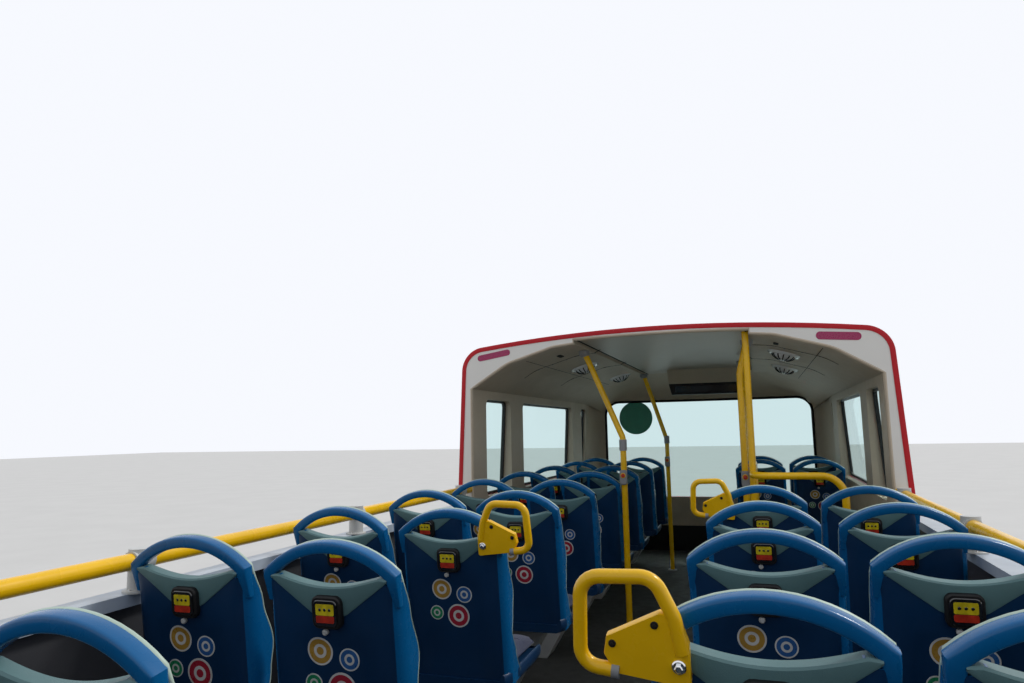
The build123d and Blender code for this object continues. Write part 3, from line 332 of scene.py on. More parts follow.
def rounded_outline(width, height, radius, steps=5):
    """A rounded rectangle about the origin, as flat points."""
    points = []
    for sign_x, sign_y, start in ((1, 1, 0), (-1, 1, 90), (-1, -1, 180), (1, -1, 270)):
        centre = (sign_x * (width / 2 - radius), sign_y * (height / 2 - radius))
        for step in range(steps + 1):
            turn = math.radians(start + 90 * step / steps)
            points.append((centre[0] + radius * math.cos(turn), centre[1] + radius * math.sin(turn)))
    return points


def circle_outline(radius, steps):
    """A circle about the origin, as flat points."""
    turns = [2 * math.pi * step / steps for step in range(steps)]
    return [(radius * math.cos(turn), radius * math.sin(turn)) for turn in turns]


def plate(outline, depth, bevel=0.0):
    """A flat outline given depth along its third axis, with the top edge eased."""
    rings = [(1.0, 0.0), (1.0, depth - bevel)]
    if bevel:
        reach = max(math.hypot(*point) for point in outline)
        rings.append((1 - bevel / reach, depth))
    return loft([[(x * size, y * size, z) for x, y in outline] for size, z in rings])


def facing(point, out, up_axis=UP):
    """A place whose third axis points out of a surface, with its second axis up."""
    out = Vector(out).normalized()
    side = Vector(up_axis).cross(out).normalized()
    return at(point) @ Matrix((side, out.cross(side), out)).transposed().to_4x4()


def face_tree(*meshes):
    """A search tree of the faces of some meshes."""
    points, faces = [], []
    for mesh in meshes:
        first = len(points)
        points += [vertex.co for vertex in mesh.vertices]
        faces += [[first + index for index in face.vertices] for face in mesh.polygons]
    return BVHTree.FromPolygons(points, faces)


def hit(tree, start, way):
    """Where a ray meets the faces of a tree, if it does."""
    return tree.ray_cast(Vector(start), Vector(way))[0]


def show(name, mesh, body=BODY):
    """A mesh put in the scene as a piece of the object."""
    piece = bpy.data.objects.new(name, mesh)
    bpy.context.collection.objects.link(piece)
    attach(piece, body)
    return piece


def spread(name, mesh, places, slot):
    """Copies of one mesh at several places, joined into one piece."""
    joined = bmesh.new()
    for place in places:
        copy = mesh.copy()
        copy.transform(place)
        joined.from_mesh(copy)
        bpy.data.meshes.remove(copy)
    whole = bpy.data.meshes.new(name)
    joined.to_mesh(whole)
    joined.free()
    for material in mesh.materials:
        whole.materials.append(material)
    return show(name, whole)


class Form:
    """Points and faces of one piece, each face with the number of its look."""

    def __init__(self):
        self.points = []
        self.faces = []
        self.looks = []

    def add(self, points, faces, look=0, place=None):
        """Adds a patch with one look, or a list of looks by face, moved by a matrix if one is given."""
        first = len(self.points)
        moved = [Vector(point) for point in points]
        if place is not None:
            moved = [place @ point for point in moved]
        self.points += moved
        self.faces += [[first + index for index in face] for face in faces]
        self.looks += look if isinstance(look, list) else [look] * len(faces)
        return self

    def slab(self, width, height, corner, depth, bevel=0.0, look=0, place=None, steps=5):
        """Adds a plate with rounded corners."""
        return self.add(*plate(rounded_outline(width, height, corner, steps), depth, bevel), look, place)

    def disc(self, radius, steps, depth, bevel=0.0, look=0, place=None):
        """Adds a round plate, or one with a few sides."""
        return self.add(*plate(circle_outline(radius, steps), depth, bevel), look, place)

    def turned(self, profile, steps=32, look=0, place=None):
        """Adds a profile of (radius, height) turned about the third axis."""
        turns = [2 * math.pi * step / steps for step in range(steps)]
        sections = [[(r * math.cos(turn), r * math.sin(turn), z) for r, z in profile] for turn in turns]
        return self.add(*loft(sections, closed=False, caps=False, loop=True), look, place)

    def bar(self, path, radius, sides=10, look=0, loop=False):
        """Adds a round bar along a path."""
        return self.add(*rod(path, radius, sides, loop), look)

    def pin(self, middle, half, radius, sides=10, look=0):
        """Adds a straight bar that reaches as far both ways from its middle."""
        middle, half = Vector(middle), Vector(half)
        return self.bar((middle - half, middle + half), radius, sides, look)

    def mesh(self, name, looks, smooth_deg=35.0):
        """The finished mesh, shaded smooth except along sharp edges."""
        mesh = bpy.data.meshes.new(name)
        mesh.from_pydata(self.points, [], self.faces)
        for look in looks:
            mesh.materials.append(MATERIALS[look])
        mesh.polygons.foreach_set("material_index", self.looks)
        shell = bmesh.new()
        shell.from_mesh(mesh)
        bmesh.ops.remove_doubles(shell, verts=shell.verts, dist=1e-5)
        bmesh.ops.recalc_face_normals(shell, faces=shell.faces)
        shell.to_mesh(mesh)
        shell.free()
        mesh.shade_smooth()
        mesh.set_sharp_from_angle(angle=math.radians(smooth_deg))
        return mesh

    def show(self, name, looks, slot, smooth_deg=35.0, body=BODY):
        """Puts the form in the scene as a piece of the object."""
        return show(name, self.mesh(name, looks, smooth_deg), body)


def shapes_of(node):
    """The lowest and highest corners of each separate solid in a node, whose faces share no points."""
    mesh = mesh_of(node)
    spots = [tuple(round(value, 4) for value in vertex.co) for vertex in mesh.vertices]
    parent = {spot: spot for spot in spots}

    def root_of(spot):
        while parent[spot] != spot:
            parent[spot] = parent[parent[spot]]
            spot = parent[spot]
        return spot

    for edge in mesh.edges:
        parent[root_of(spots[edge.vertices[0]])] = root_of(spots[edge.vertices[1]])
    solids = {}
    for spot in parent:
        solids.setdefault(root_of(spot), []).append(spot)
    return sorted((tuple(map(min, zip(*spots))), tuple(map(max, zip(*spots)))) for spots in solids.values())


# Seats: where each one stands, from the pans in the frame. A seat's origin lies under the middle of its back.

HOOP_END = 0.930
HOOP_RISE = 0.070
SEAT_HALF = 0.179
RECLINE_DEG = 8.0
PAN_BACK = 0.040
PAN_TOP = 0.430
DECK_Z = box_of("upper_floor")[1].z
WINDOW_SEAT_Y = 0.75
SIDE_Y = box_of("side_walls")[1].y

pans = shapes_of("seat_pans")
seats = [Vector((low[0] - PAN_BACK, (low[1] + high[1]) / 2, high[2] - PAN_TOP)) for low, high in pans]
upper_seats = [seat for seat in seats if seat.z > DECK_Z - 0.1]
lower_seats = [seat for seat in seats if seat not in upper_seats]
bench_x = min(seat.x for seat in upper_seats)
bench = [seat for seat in upper_seats if seat.x < bench_x + 0.1]


def seats_between(y_low, y_high):
    """The upper deck's seats ahead of the bench, between two distances across the bus."""
    return [seat for seat in upper_seats if y_low < seat.y < y_high and seat not in bench]


groups = {
    "left_window": seats_between(WINDOW_SEAT_Y, SIDE_Y),
    "left_aisle": seats_between(0, WINDOW_SEAT_Y),
    "right_aisle": seats_between(-WINDOW_SEAT_Y, 0),
    "right_window": seats_between(-SIDE_Y, -WINDOW_SEAT_Y),
    "bench": bench,
}
recline = at((0, 0, HOOP_END)) @ turn_by(-RECLINE_DEG, "Y")

BAND = 0.031
HOOP_DEPTH = 0.036
HOOP_ARC = (SEAT_HALF**2 + HOOP_RISE**2) / (2 * HOOP_RISE)
HOOP_TURN = math.asin(SEAT_HALF / HOOP_ARC)
OUTER_HALF = SEAT_HALF + BAND / 2
# The back: its reach below the hoop's ends, its corners and wall, and where its sides start inside the legs
SHELL_DROP = 0.535
SHELL_CORNER = 0.050
SHELL_WALL = 0.012
SIDE_START = 0.018
REAR_X = -HOOP_DEPTH / 2 + 0.002
DENT_DEPTH = 0.008
# Steps of its mesh down the back, along a wing, round a corner and over the rear face
SHELL_ROWS, WING_STEPS, CORNER_STEPS, REAR_STEPS = 18, 5, 5, 18
# Columns at each end painted in the hoop's lighter blue: painted sunlight on the wings, while the rear face
# keeps the darker seat blue
SUNLIT_WING_COLUMNS = 8
LENS_HALF = 0.146
LENS_DIP = 0.030
# How far the wing's front edge stands ahead of the hoop's middle, at a drop below the hoop's ends
WING = (
    (0.0, 0.019), (0.10, 0.048), (0.22, 0.080), (0.30, 0.062), (0.355, 0.046), (0.43, 0.072), (0.54, 0.112),
)


def wing_reach(drop):
    """The wing's reach at a drop, eased between the table's rows."""
    for (drop_a, x_a), (drop_b, x_b) in zip(WING, WING[1:]):
        if drop <= drop_b:
            t = max(0.0, (drop - drop_a) / (drop_b - drop_a))
            return x_a + (x_b - x_a) * t * t * (3 - 2 * t)
    return WING[-1][1]


def soft_step(value, edge, width):
    """Goes from 1 to 0 as a value passes an edge."""
    t = min(1.0, max(0.0, (value - edge + width / 2) / width))
    return 1 - t * t * (3 - 2 * t)


def lens_bottom(y):
    """The height of the sage panel's hollow top edge across the seat."""
    return -LENS_DIP * (1 - min(1.0, abs(y) / LENS_HALF) ** 2)


def rear_surface(y, drop):
    """Where the rear face stands, with a soft recess down its middle."""
    dent = soft_step(abs(y), 0.105, 0.045) * soft_step(-drop, -0.165, 0.05) * soft_step(drop, 0.47, 0.08)
    return REAR_X + DENT_DEPTH * dent


def shell_line(row, inset):
    """One line across the back at a row: side, corner, rear face, corner and side."""
    share = row / SHELL_ROWS
    half = OUTER_HALF - inset
    drop = SIDE_START + share * (SHELL_DROP - SIDE_START)
    front = wing_reach(drop)
    radius = min(SHELL_CORNER, front - REAR_X - 0.004) - inset
    start = REAR_X + inset + radius
    long = front - start - 0.3 * inset
    line = [(start + long * (1 - step / WING_STEPS), -half, -drop) for step in range(WING_STEPS)]
    for step in range(CORNER_STEPS + 1):
        turn = math.pi / 2 * step / CORNER_STEPS
        line.append((start - radius * math.sin(turn), -half + radius - radius * math.cos(turn), -drop))
    edge = line[:]
    for step in range(1, REAR_STEPS):
        y = -(half - radius) * (1 - 2 * step / REAR_STEPS)
        from_top = share * (SHELL_DROP + lens_bottom(y)) - lens_bottom(y)
        line.append((rear_surface(y, from_top) + inset, y, -from_top))
    return line + [(x, -y, z) for x, y, z in reversed(edge)]


def shell_mesh():
    """The moulded back: a rear face with a soft recess, rounded corners, and wings that reach forward."""
    sides = [[shell_line(row, inset) for row in range(SHELL_ROWS + 1)] for inset in (0.0, SHELL_WALL)]
    count = len(sides[0][0])
    inner = (SHELL_ROWS + 1) * count
    faces, looks = [], []
    for row in range(SHELL_ROWS):
        for column in range(count - 1):
            a = row * count + column
            faces.append([a, a + 1, a + count + 1, a + count])
            faces.append([inner + a, inner + a + count, inner + a + count + 1, inner + a + 1])
            # Painted light: the wings take the lighter hoop blue as painted sunlight, the rear face the darker
            # seat blue as painted shade
            looks += [0 if SUNLIT_WING_COLUMNS <= column < count - 1 - SUNLIT_WING_COLUMNS else 1] * 2
    for a in [row * count + column for row in (0, SHELL_ROWS) for column in range(count - 1)]:
        faces.append([a, a + 1, inner + a + 1, inner + a])
    for a in [row * count + end for row in range(SHELL_ROWS) for end in (0, count - 1)]:
        faces.append([a, a + count, inner + a + count, inner + a])
    looks += [1] * (len(faces) - len(looks))
    points = [point for side in sides for line in side for point in line]
    return Form().add(points, faces, looks).mesh("shell", ["seat_blue", "hoop_blue"], 40)


def squared(value):
    """A sine or a cosine made squarer, so that their ring bulges towards its corners."""
    return math.copysign(abs(value) ** 0.45, value)


def hoop_mesh():
    """The grab hoop: a rounded band that runs down inside the seat's sides at mitred corners."""
    leg = [(-SEAT_HALF, -0.075), (-SEAT_HALF, -0.040), (-SEAT_HALF, -0.012)]
    centre = HOOP_RISE - HOOP_ARC
    arc = [(HOOP_ARC * math.sin(turn), centre + HOOP_ARC * math.cos(turn)) for turn in arc_turns(12)]
    path = leg + arc + [(-y, z) for y, z in reversed(leg)]
    sections = []
    for index, (y, z) in enumerate(path):
        before, after = path[max(0, index - 1)], path[min(len(path) - 1, index + 1)]
        to_here = Vector((y - before[0], z - before[1]))
        from_here = Vector((after[0] - y, after[1] - z))
        along = (to_here.normalized() + from_here.normalized()).normalized()
        out = Vector((-along.y, along.x))
        mitre = 1.0
        if to_here.length and from_here.length:
            mitre = 1 / max(0.6, out.dot(Vector((-to_here.y, to_here.x)).normalized()))
        # The legs grow thinner and move inwards as they sink into the back
        drop = max(0.0, -z)
        sunk = min(1.0, max(0.0, drop - 0.012) / 0.063)
        half = BAND / 2 * mitre * (1 - 0.45 * sunk)
        shift = (BAND / 2 * mitre - half) - 0.0025 * sunk
        front = max(HOOP_DEPTH / 2, wing_reach(drop) - 0.004 - 0.02 * sunk)
        rear = -HOOP_DEPTH / 2 + 0.016 * sunk
        section = []
        for wide, deep in circle_outline(1.0, 20):
            reach = squared(wide) * half + shift
            x = (front + rear) / 2 + squared(deep) * (front - rear) / 2
            section.append((x, y + out.x * reach, z + out.y * reach))
        sections.append(section)
    return Form().add(*loft(sections)).mesh("hoop", ["hoop_blue"], 30)


def arc_turns(steps):
    """Angles over the hoop's arc, with as many steps on each side of its middle."""
    return [HOOP_TURN * (step / steps - 1) for step in range(2 * steps + 1)]


def highlight_strip_mesh():
    """A pale strip along the front edge of the wings and the hoop: a painted highlight."""
    radius = HOOP_ARC + BAND / 2 - 0.003
    centre = HOOP_RISE - HOOP_ARC
    drops = [0.02 * n for n in range(26, 0, -1)]
    side = [(wing_reach(drop) - 0.001, -OUTER_HALF + 0.003, -drop) for drop in drops]
    front = HOOP_DEPTH / 2 - 0.001
    over = [(front, radius * math.sin(turn), centre + radius * math.cos(turn)) for turn in arc_turns(8)]
    path = side + over + [(x, -y, z) for x, y, z in reversed(side)]
    return Form().bar(path, 0.0042, 6).mesh("highlight_strip", ["seat_edge"], 60)


def sage_mesh():
    """The sage panel under the hoop: a hollow top edge that wraps forward, and a V below."""
    tip, tip_drop, foot_half, foot_drop = 0.168, 0.010, 0.046, 0.099
    rear, front, ease = -HOOP_DEPTH / 2 - 0.002, 0.014, 0.004
    slope = (foot_drop - tip_drop) / (tip - foot_half)
    sections = []
    for step in range(33):
        y = tip * (step / 16 - 1)
        top = lens_bottom(y) + 0.003 - 0.006 * (abs(y) / tip) ** 4
        low = min(-foot_drop + slope * max(0.0, abs(y) - foot_half), top - 0.004)
        ring = (
            (rear + 0.002, low), (rear, low + ease), (rear, top - ease), (rear + ease, top),
            (front - ease, top), (front, top - ease), (front, low + ease), (front - ease, low),
        )
        sections.append([(x, y, z) for x, z in ring])
    return Form().add(*loft(sections)).mesh("sage", ["seat_sage"], 40)


def control_box_mesh():
    """The sound control: a rounded box with a glossy bezel, a blank two-colour label and a small knob."""
    place = facing((-HOOP_DEPTH / 2, 0, -0.088), REARWARD)
    face = place @ at((0, 0, 0.0155))
    label = face @ at((0, 0, 0.0036))
    form = Form()
    form.slab(0.084, 0.082, 0.018, 0.016, 0.004, 0, place)
    form.slab(0.068, 0.066, 0.013, 0.004, 0.002, 1, face)
    form.slab(0.052, 0.028, 0.004, 0.0012, 0, 2, label @ at((0, 0.010, 0)))
    form.slab(0.052, 0.018, 0.004, 0.0012, 0, 3, label @ at((0, -0.014, 0)))
    for dx in (-0.014, 0.000, 0.014):
        form.disc(0.004, 12, 0.0022, 0.0008, 1, label @ at((dx, 0.010, 0)))
    form.disc(0.008, 16, 0.010, 0.003, 4, place @ at((-0.012, -0.053, 0)))
    looks = ["black_plastic", "gloss_black", "label_yellow", "label_red", "pale_metal"]
    return form.mesh("control_box", looks, 30)


# Round stickers on the seat backs: across, drop, radius and colour of each
RINGS = (
    (0.040, 0.196, 0.037, 3), (-0.044, 0.212, 0.029, 2), (-0.018, 0.288, 0.041, 1), (0.064, 0.281, 0.025, 4),
)
RING_LOOKS = ["sticker_white", "sticker_red", "sticker_blue", "sticker_gold", "sticker_green"]
RING_STEPS = 28
RING_LIFT = 0.0013
# Share of the radius and lift of each loop
RING_LOOPS = ((1.0, 0.0), (1.0, RING_LIFT), (0.87, RING_LIFT), (0.50, RING_LIFT), (0.28, RING_LIFT))


def rings_mesh():
    """Plain round stickers laid on the rear face: a white edge, a coloured band, a white middle and a dot."""
    form = Form()
    for y, drop, radius, colour in RINGS:
        sections = []
        for share, lift in RING_LOOPS:
            line = []
            for across, along in circle_outline(radius * share, RING_STEPS):
                line.append((rear_surface(y + across, drop - along) - lift, y + across, -drop + along))
            sections.append(line)
        form.add(*loft(sections, caps=False), [look for look in (0, 0, colour, 0) for _ in range(RING_STEPS)])
        form.add(sections[-1], [list(range(RING_STEPS))], colour)
    return form.mesh("rings", RING_LOOKS, 60)


# The pan along the seat: distance ahead, half width, and drop of the top
PAN_SECTIONS = (
    (0.045, 0.180, 0.0), (0.060, 0.192, 0.0), (0.20, 0.196, 0.0), (0.36, 0.194, 0.0), (0.45, 0.188, 0.004),
    (0.485, 0.172, 0.012), (0.497, 0.160, 0.024),
)


def pan_mesh():
    """The moulded pan: a tray with raised sides and a rolled front edge."""
    sections = []
    for x, half, drop in PAN_SECTIONS:
        top, low, rim = PAN_TOP - drop, PAN_TOP - 0.034 + drop / 4, PAN_TOP + 0.024 - 1.6 * drop
        side = [
            (half - 0.024, low), (half - 0.004, low + 0.010), (half, low + 0.022), (half, rim - 0.006),
            (half - 0.006, rim), (half - 0.013, rim - 0.004), (half - 0.020, top + 0.001),
        ]
        other = [(-y, z) for y, z in side]
        ring = [other[0], (0, low - 0.002), *side, (0, top), *other[:0:-1]]
        sections.append([(x, y, z) for y, z in ring])
    return Form().add(*loft(sections)).mesh("pan", ["seat_blue"], 50)


PAD_STEPS = 14
# How far the middle of a pad's sides pulls in between its corners
PAD_PULL = 0.015


def pad_form(width, length, depth, crown):
    """A crowned closed pad whose sides pull in between its corners: x along, y across, z up."""
    size = PAD_STEPS + 1
    points, faces = [], []
    for layer in (0, 1):
        for row in range(size):
            for column in range(size):
                u, v = 2 * row / PAD_STEPS - 1, 2 * column / PAD_STEPS - 1
                pull = 1 - PAD_PULL + PAD_PULL * abs(u * v)
                x = length / 2 * math.copysign(abs(u) ** 0.9, u) * pull
                y = width / 2 * math.copysign(abs(v) ** 0.9, v) * pull
                swell = ((1 - u**6) * (1 - v**6)) ** 0.5
                z = depth * 0.42 + (depth * 0.58 + crown) * swell if layer else depth * 0.42 * (1 - swell)
                points.append((x, y, z))
        for row in range(PAD_STEPS):
            for column in range(PAD_STEPS):
                a = layer * size * size + row * size + column
                face = [a, a + 1, a + size + 1, a + size]
                faces.append([face[0], *face[:0:-1]] if layer else face)
    rim = [n for n in range(size)] + [n * size + PAD_STEPS for n in range(1, size)]
    rim += [PAD_STEPS * size + n for n in range(PAD_STEPS - 1, -1, -1)]
    rim += [n * size for n in range(PAD_STEPS - 1, 0, -1)]
    faces += [[a, b, b + size * size, a + size * size] for a, b in zip(rim, rim[1:] + rim[:1])]
    return points, faces


def settled(piece):
    """A copy of a piece's mesh as its modifiers leave it."""
    return bpy.data.meshes.new_from_object(piece.evaluated_get(bpy.context.evaluated_depsgraph_get()))


def swollen(mesh, voxel=0.018, frames=20, cap=0.007):
    """The pad as cloth under pressure: remeshed, then swollen for some frames, with a cap on each move."""
    trial = bpy.data.objects.new("trial", mesh)
    bpy.context.collection.objects.link(trial)
    remesh = trial.modifiers.new("remesh", "REMESH")
    remesh.mode = "VOXEL"
    remesh.voxel_size = voxel
    start = settled(trial)
    trial.modifiers.clear()
    trial.data = start
    cloth = trial.modifiers.new("cloth", "CLOTH")
    cloth.settings.use_pressure = True
    cloth.settings.uniform_pressure_force = 4.0
    cloth.settings.effector_weights.gravity = 0.0
    scene = bpy.context.scene
    for step in range(1, frames + 1):
        scene.frame_set(step)
    end = settled(trial)
    scene.frame_set(1)
    for before, after in zip(start.vertices, end.vertices):
        move = after.co - before.co
        if move.length > cap:
            after.co = before.co + move.normalized() * cap
    bpy.data.objects.remove(trial)
    end.materials.clear()
    end.materials.append(MATERIALS["seat_pad"])
    end.shade_smooth()
    return end


def with_seams(mesh, lines):
    """The pad with a piped edge and sewn seams laid on its swollen surface."""
    tree = face_tree(mesh)
    form = Form()
    for line in lines:
        spots = [hit(tree, (x, y, 1), DOWN) for x, y in line]
        laid = [spot + Vector((0, 0, 0.0004)) for spot in spots if spot is not None]
        if len(laid) > 2:
            form.bar(laid, 0.0016, 5)
    both = bmesh.new()
    both.from_mesh(mesh)
    first = len(both.faces)
    both.from_mesh(form.mesh("seams", ["seam"], 60))
    both.faces.ensure_lookup_table()
    for face in both.faces[first:]:
        face.material_index = 1
    both.to_mesh(mesh)
    both.free()
    mesh.materials.append(MATERIALS["seam"])
    return mesh


def pad_mesh(name, width, length, depth, crown, channels):
    """A finished pad: swollen cloth with piping and sewn lines across it."""
    mesh = swollen(Form().add(*pad_form(width, length, depth, crown)).mesh(name, ["seat_pad"], 60))
    edge = [(x * 0.93, y * 0.93) for x, y in rounded_outline(length, width, 0.03, 6)]
    lines = [edge + edge[:1]]
    for share in channels:
        lines.append([(share * length, width * (n / 12 - 0.5) * 0.86) for n in range(13)])
    return with_seams(mesh, lines)


# Name, mesh, slot, and the nodes that each part of a back stands for. The bench has no rear parts.
back_parts = (
    ("seat_shells", shell_mesh(), "seat_blue", ("seat_backs",)),
    ("hoops", hoop_mesh(), "hoop_blue", ("seat_hoops",)),
    ("highlight_strips", highlight_strip_mesh(), "hoop_blue", ()),
    ("sage_panels", sage_mesh(), "seat_sage", ("seat_inserts",)),
)
rear_parts = (
    ("sound_controls", control_box_mesh(), "black_plastic", ("seat_control_boxes",)),
    ("ring_stickers", rings_mesh(), "seat_sage", ()),
)
back_pad = pad_mesh("back_pad", 0.330, 0.330, 0.030, 0.010, (-0.22, 0.22))
cushion = pad_mesh("cushion", 0.335, 0.375, 0.036, 0.012, (-0.2, 0.2))
pan = pan_mesh()
upright = turn_by(90, "Y")
back_pad_place = at((0.012, 0, -0.275)) @ upright
cushion_place = at((0.300, 0, PAN_TOP))
for group, members in groups.items():
    stand = [at(seat) for seat in members]
    leaning = [place @ recline for place in stand]
    for word, mesh, slot, nodes in back_parts + (rear_parts if group != "bench" else ()):
        made = spread(f"{word}_{group}", mesh, leaning, slot)
        if nodes:
            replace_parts(made, *nodes)
    pads = spread(f"back_pads_{group}", back_pad, [place @ back_pad_place for place in leaning], "seat_pad")
    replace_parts(pads, "seat_pads")
    cushions = spread(f"cushions_{group}", cushion, [place @ cushion_place for place in stand], "seat_pad")
    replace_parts(spread(f"pans_{group}", pan, stand, "seat_blue"), "seat_pans")


def lower_back_mesh():
    """The lower deck's plainer back: a rounded moulding with a padded front."""
    outline = rounded_outline(0.386, 0.610, 0.09, 8)
    rings = ((0.96, -0.032), (1.0, -0.022), (1.0, 0.020), (0.97, 0.032))
    sections = [[(x, y * size, z * size) for y, z in outline] for size, x in rings]
    return Form().add(*loft(sections)).mesh("lower_back", ["seat_blue"], 40)


def lower_spread(name, mesh, slot, own_place):
    """Copies of a mesh on each seat of the lower deck."""
    return spread(name, mesh, [at(seat) @ own_place for seat in lower_seats], slot)


lower_back_place = at((0.066, 0, PAN_TOP + 0.310))
lower_pad_place = at((0.094, 0, PAN_TOP + 0.330)) @ upright
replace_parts(lower_spread("lower_seat_backs", lower_back_mesh(), "seat_blue", lower_back_place), "seat_backs")
lower_spread("lower_back_pads", back_pad, "seat_pad", lower_pad_place)
lower_spread("lower_cushions", cushion, "seat_pad", cushion_place)
lower_spread("lower_pans", pan, "seat_blue", Matrix())

# Corner handles: a bent loop on a cranked plate, bolted to the corner of a hoop

# Points of the loop and corners of the plate: distance from the hoop's corner towards the aisle, and height
HANDLE_LOOP = (
    (-0.064, -0.010), (-0.054, 0.048), (-0.024, 0.114), (0.100, 0.110), (0.108, -0.040), (0.044, -0.047),
)
HANDLE_PLATE = (
    (0.060, 0.013), (-0.030, 0.056), (-0.060, 0.054), (-0.076, 0.004), (-0.076, -0.066), (0.048, -0.050),
    (0.066, -0.018),
)
HANDLE_BOLTS = ((-0.022, 0.036), (0.050, 0.001))
HANDLE_RADIUS = 0.0125
PLATE_FACE = 0.018


def handle_mesh(side):
    """One handle in the plane of its back, with the aisle on a given side."""
    form = Form()
    behind = -HOOP_DEPTH / 2
    loop = [Vector((behind - 0.013, -side * s, z)) for s, z in HANDLE_LOOP]
    form.bar(rounded(loop, 0.036, 6), HANDLE_RADIUS, 14)
    place = facing((behind, 0, 0), REARWARD)
    corners = [Vector((side * s, z, 0)) for s, z in HANDLE_PLATE]
    eased = [(point.x, point.y) for point in rounded([*corners, corners[0]], 0.007, 3)[:-1]]
    form.add(*plate(eased[::side], 0.019, 0.003), 0, place)
    for s, z in HANDLE_BOLTS:
        seat = place @ at((side * s, z, PLATE_FACE))
        form.disc(0.0065, 18, 0.0035, 0.001, 1, seat)
        form.disc(0.0065 * 0.55, 6, 0.0065, 0.001, 1, seat)
    end = place @ at((side * -0.058, -0.030, PLATE_FACE))
    form.disc(0.012, 24, 0.006, 0.002, 2, end)
    form.disc(0.0075, 6, 0.012, 0.002, 2, end)
    along = (loop[-1] - loop[-2]).normalized()
    form.bar((loop[-1] - along * 0.010, loop[-1] + along * 0.003), HANDLE_RADIUS + 0.0008, 14, 3)
    return form.mesh("handle", ["rail_yellow", "dark_rubber", "chrome", "grey_plastic"])


for number, (low, high) in enumerate(shapes_of("corner_handles")):
    side = 1 if low[1] > 0 else -1
    middle = (low[0] + high[0]) / 2
    row = min(groups["left_aisle" if side > 0 else "right_aisle"], key=lambda seat: abs(seat.x - middle))
    place = at((row.x, row.y - side * OUTER_HALF, row.z)) @ recline
    handle = spread(f"corner_handle_{number}", handle_mesh(side), [place], "rail_yellow")
    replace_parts(handle, "corner_handles")

# Sleeves where the yellow rail passes its posts, and the posts' bolted flanges on the floor

rail_low, rail_high = box_of("side_rails")
RAIL_RADIUS = (rail_high.z - rail_low.z) / 2
rail_z = (rail_low.z + rail_high.z) / 2
sleeves = Form()
for low, high in shapes_of("rail_posts"):
    x, y = (low[0] + high[0]) / 2, (low[1] + high[1]) / 2
    along = Vector(FORWARD if x > rail_low.x + 0.2 else LEFT)
    for reach, swell in ((0.034, 0.0055), (0.024, 0.0080)):
        sleeves.pin((x, y, rail_z), along * reach, RAIL_RADIUS + swell, 20)
    foot = at((x, y, low[2]))
    sleeves.disc(0.044, 24, 0.007, 0.002, 0, foot)
    for dx in (0.031, -0.031):
        sleeves.disc(0.0055, 10, 0.011, 0.001, 1, foot @ at((dx, 0, 0)))
sleeves.show("rail_sleeves", ["pale_metal", "chrome"], "pale_metal")

# Walls painted outside and lined inside

COPING_DEPTH = 0.037
COPING_Z = box_of("upper_side_walls")[1].z - COPING_DEPTH
WALL_LOOKS = (
    (two_sided("lined_walls", (0.20, 0.195, 0.175)),
     ("side_walls", "front_panel", "rear_panel", "door_leaf_front", "door_leaf_rear")),
    (two_sided("canopy_walls", CREAM), ("canopy_sides", "canopy_front", "canopy_roof")),
    (two_sided("open_walls", (0.050, 0.052, 0.058), COPING_Z), ("upper_side_walls", "upper_rear_wall")),
    (MATERIALS["cream_lining"], ("canopy_ceiling",)),
    (MATERIALS["lamp_housing"], ("lamps",)),
)
for material, nodes in WALL_LOOKS:
    for node in nodes:
        mesh_of(node).materials[0] = material

# Canopy rim: a red trim on its outer edge, a rolled inner lip, and two blank pills on the fascia

TRIM_WIDTH = 0.026
TRIM_PROUD = 0.003
RIM_MIDDLE_Z = 3.3


def around(points, centre):
    """Points across the bus in order round a centre, from the left foot over the top to the right foot."""
    return sorted(points, key=lambda p: -math.atan2(p[0] - centre[0], p[1] - centre[1]))


def spaced(line, gap):
    """A line of points with more points on its long runs."""
    filled = [line[0]]
    for a, b in zip(line, line[1:]):
        count = max(1, math.ceil(math.dist(a, b) / gap))
        filled += [tuple(u + (v - u) * step / count for u, v in zip(a, b)) for step in range(1, count + 1)]
    return filled


def strip_along(line, section):
    """A strip along a line of (y, z) points: each section point is (x, distance away from the middle)."""
    sections = []
    for index, (y, z) in enumerate(line):
        before, after = line[max(0, index - 1)], line[min(len(line) - 1, index + 1)]
        along = Vector((after[0] - before[0], after[1] - before[1])).normalized()
        out = Vector((along.y, -along.x))
        if out.dot(Vector((y, z - RIM_MIDDLE_Z))) <= 0:
            out = -out
        sections.append([(x, y + out.x * d, z + out.y * d) for x, d in section])
    return loft(sections)


rim_low, rim_high = box_of("canopy_rim")
rear_face = [vertex.co for vertex in mesh_of("canopy_rim").vertices if abs(vertex.co.x - rim_low.x) < 0.002]
rim_points = sorted({(round(co.y, 4), round(co.z, 4)) for co in rear_face})
hull = [rim_points[index] for index in geometry.convex_hull_2d([Vector(point) for point in rim_points])]
outer_line = spaced(around(hull, (0, rim_low.z)), 0.06)
inside = [point for point in rim_points if point not in hull and point[1] > rim_low.z + 0.02]
inner_line = spaced(around(inside, (0, rim_low.z + 0.2)), 0.06)
inner_line = [(inner_line[0][0], rim_low.z), *inner_line, (inner_line[-1][0], rim_low.z)]

front, back = rim_high.x + 0.020, rim_low.x - TRIM_PROUD
trim_section = (
    (back, -TRIM_WIDTH), (back - 0.002, -TRIM_WIDTH / 2), (back, -0.002), (back + 0.003, TRIM_PROUD - 0.001),
    (front, TRIM_PROUD - 0.001), (front, -0.003), (rim_low.x + 0.002, -0.004),
    (rim_low.x + 0.002, -TRIM_WIDTH),
)
Form().add(*strip_along(outer_line, trim_section)).show("rim_trim", ["red_paint"], "red_paint", 40)
lip_section = [(rim_low.x + 0.010 + x, -0.001 + 0.85 * out) for x, out in circle_outline(0.013, 8)]
Form().add(*strip_along(inner_line, lip_section)).show("rim_lip", ["cream_lining"], "cream_lining", 50)

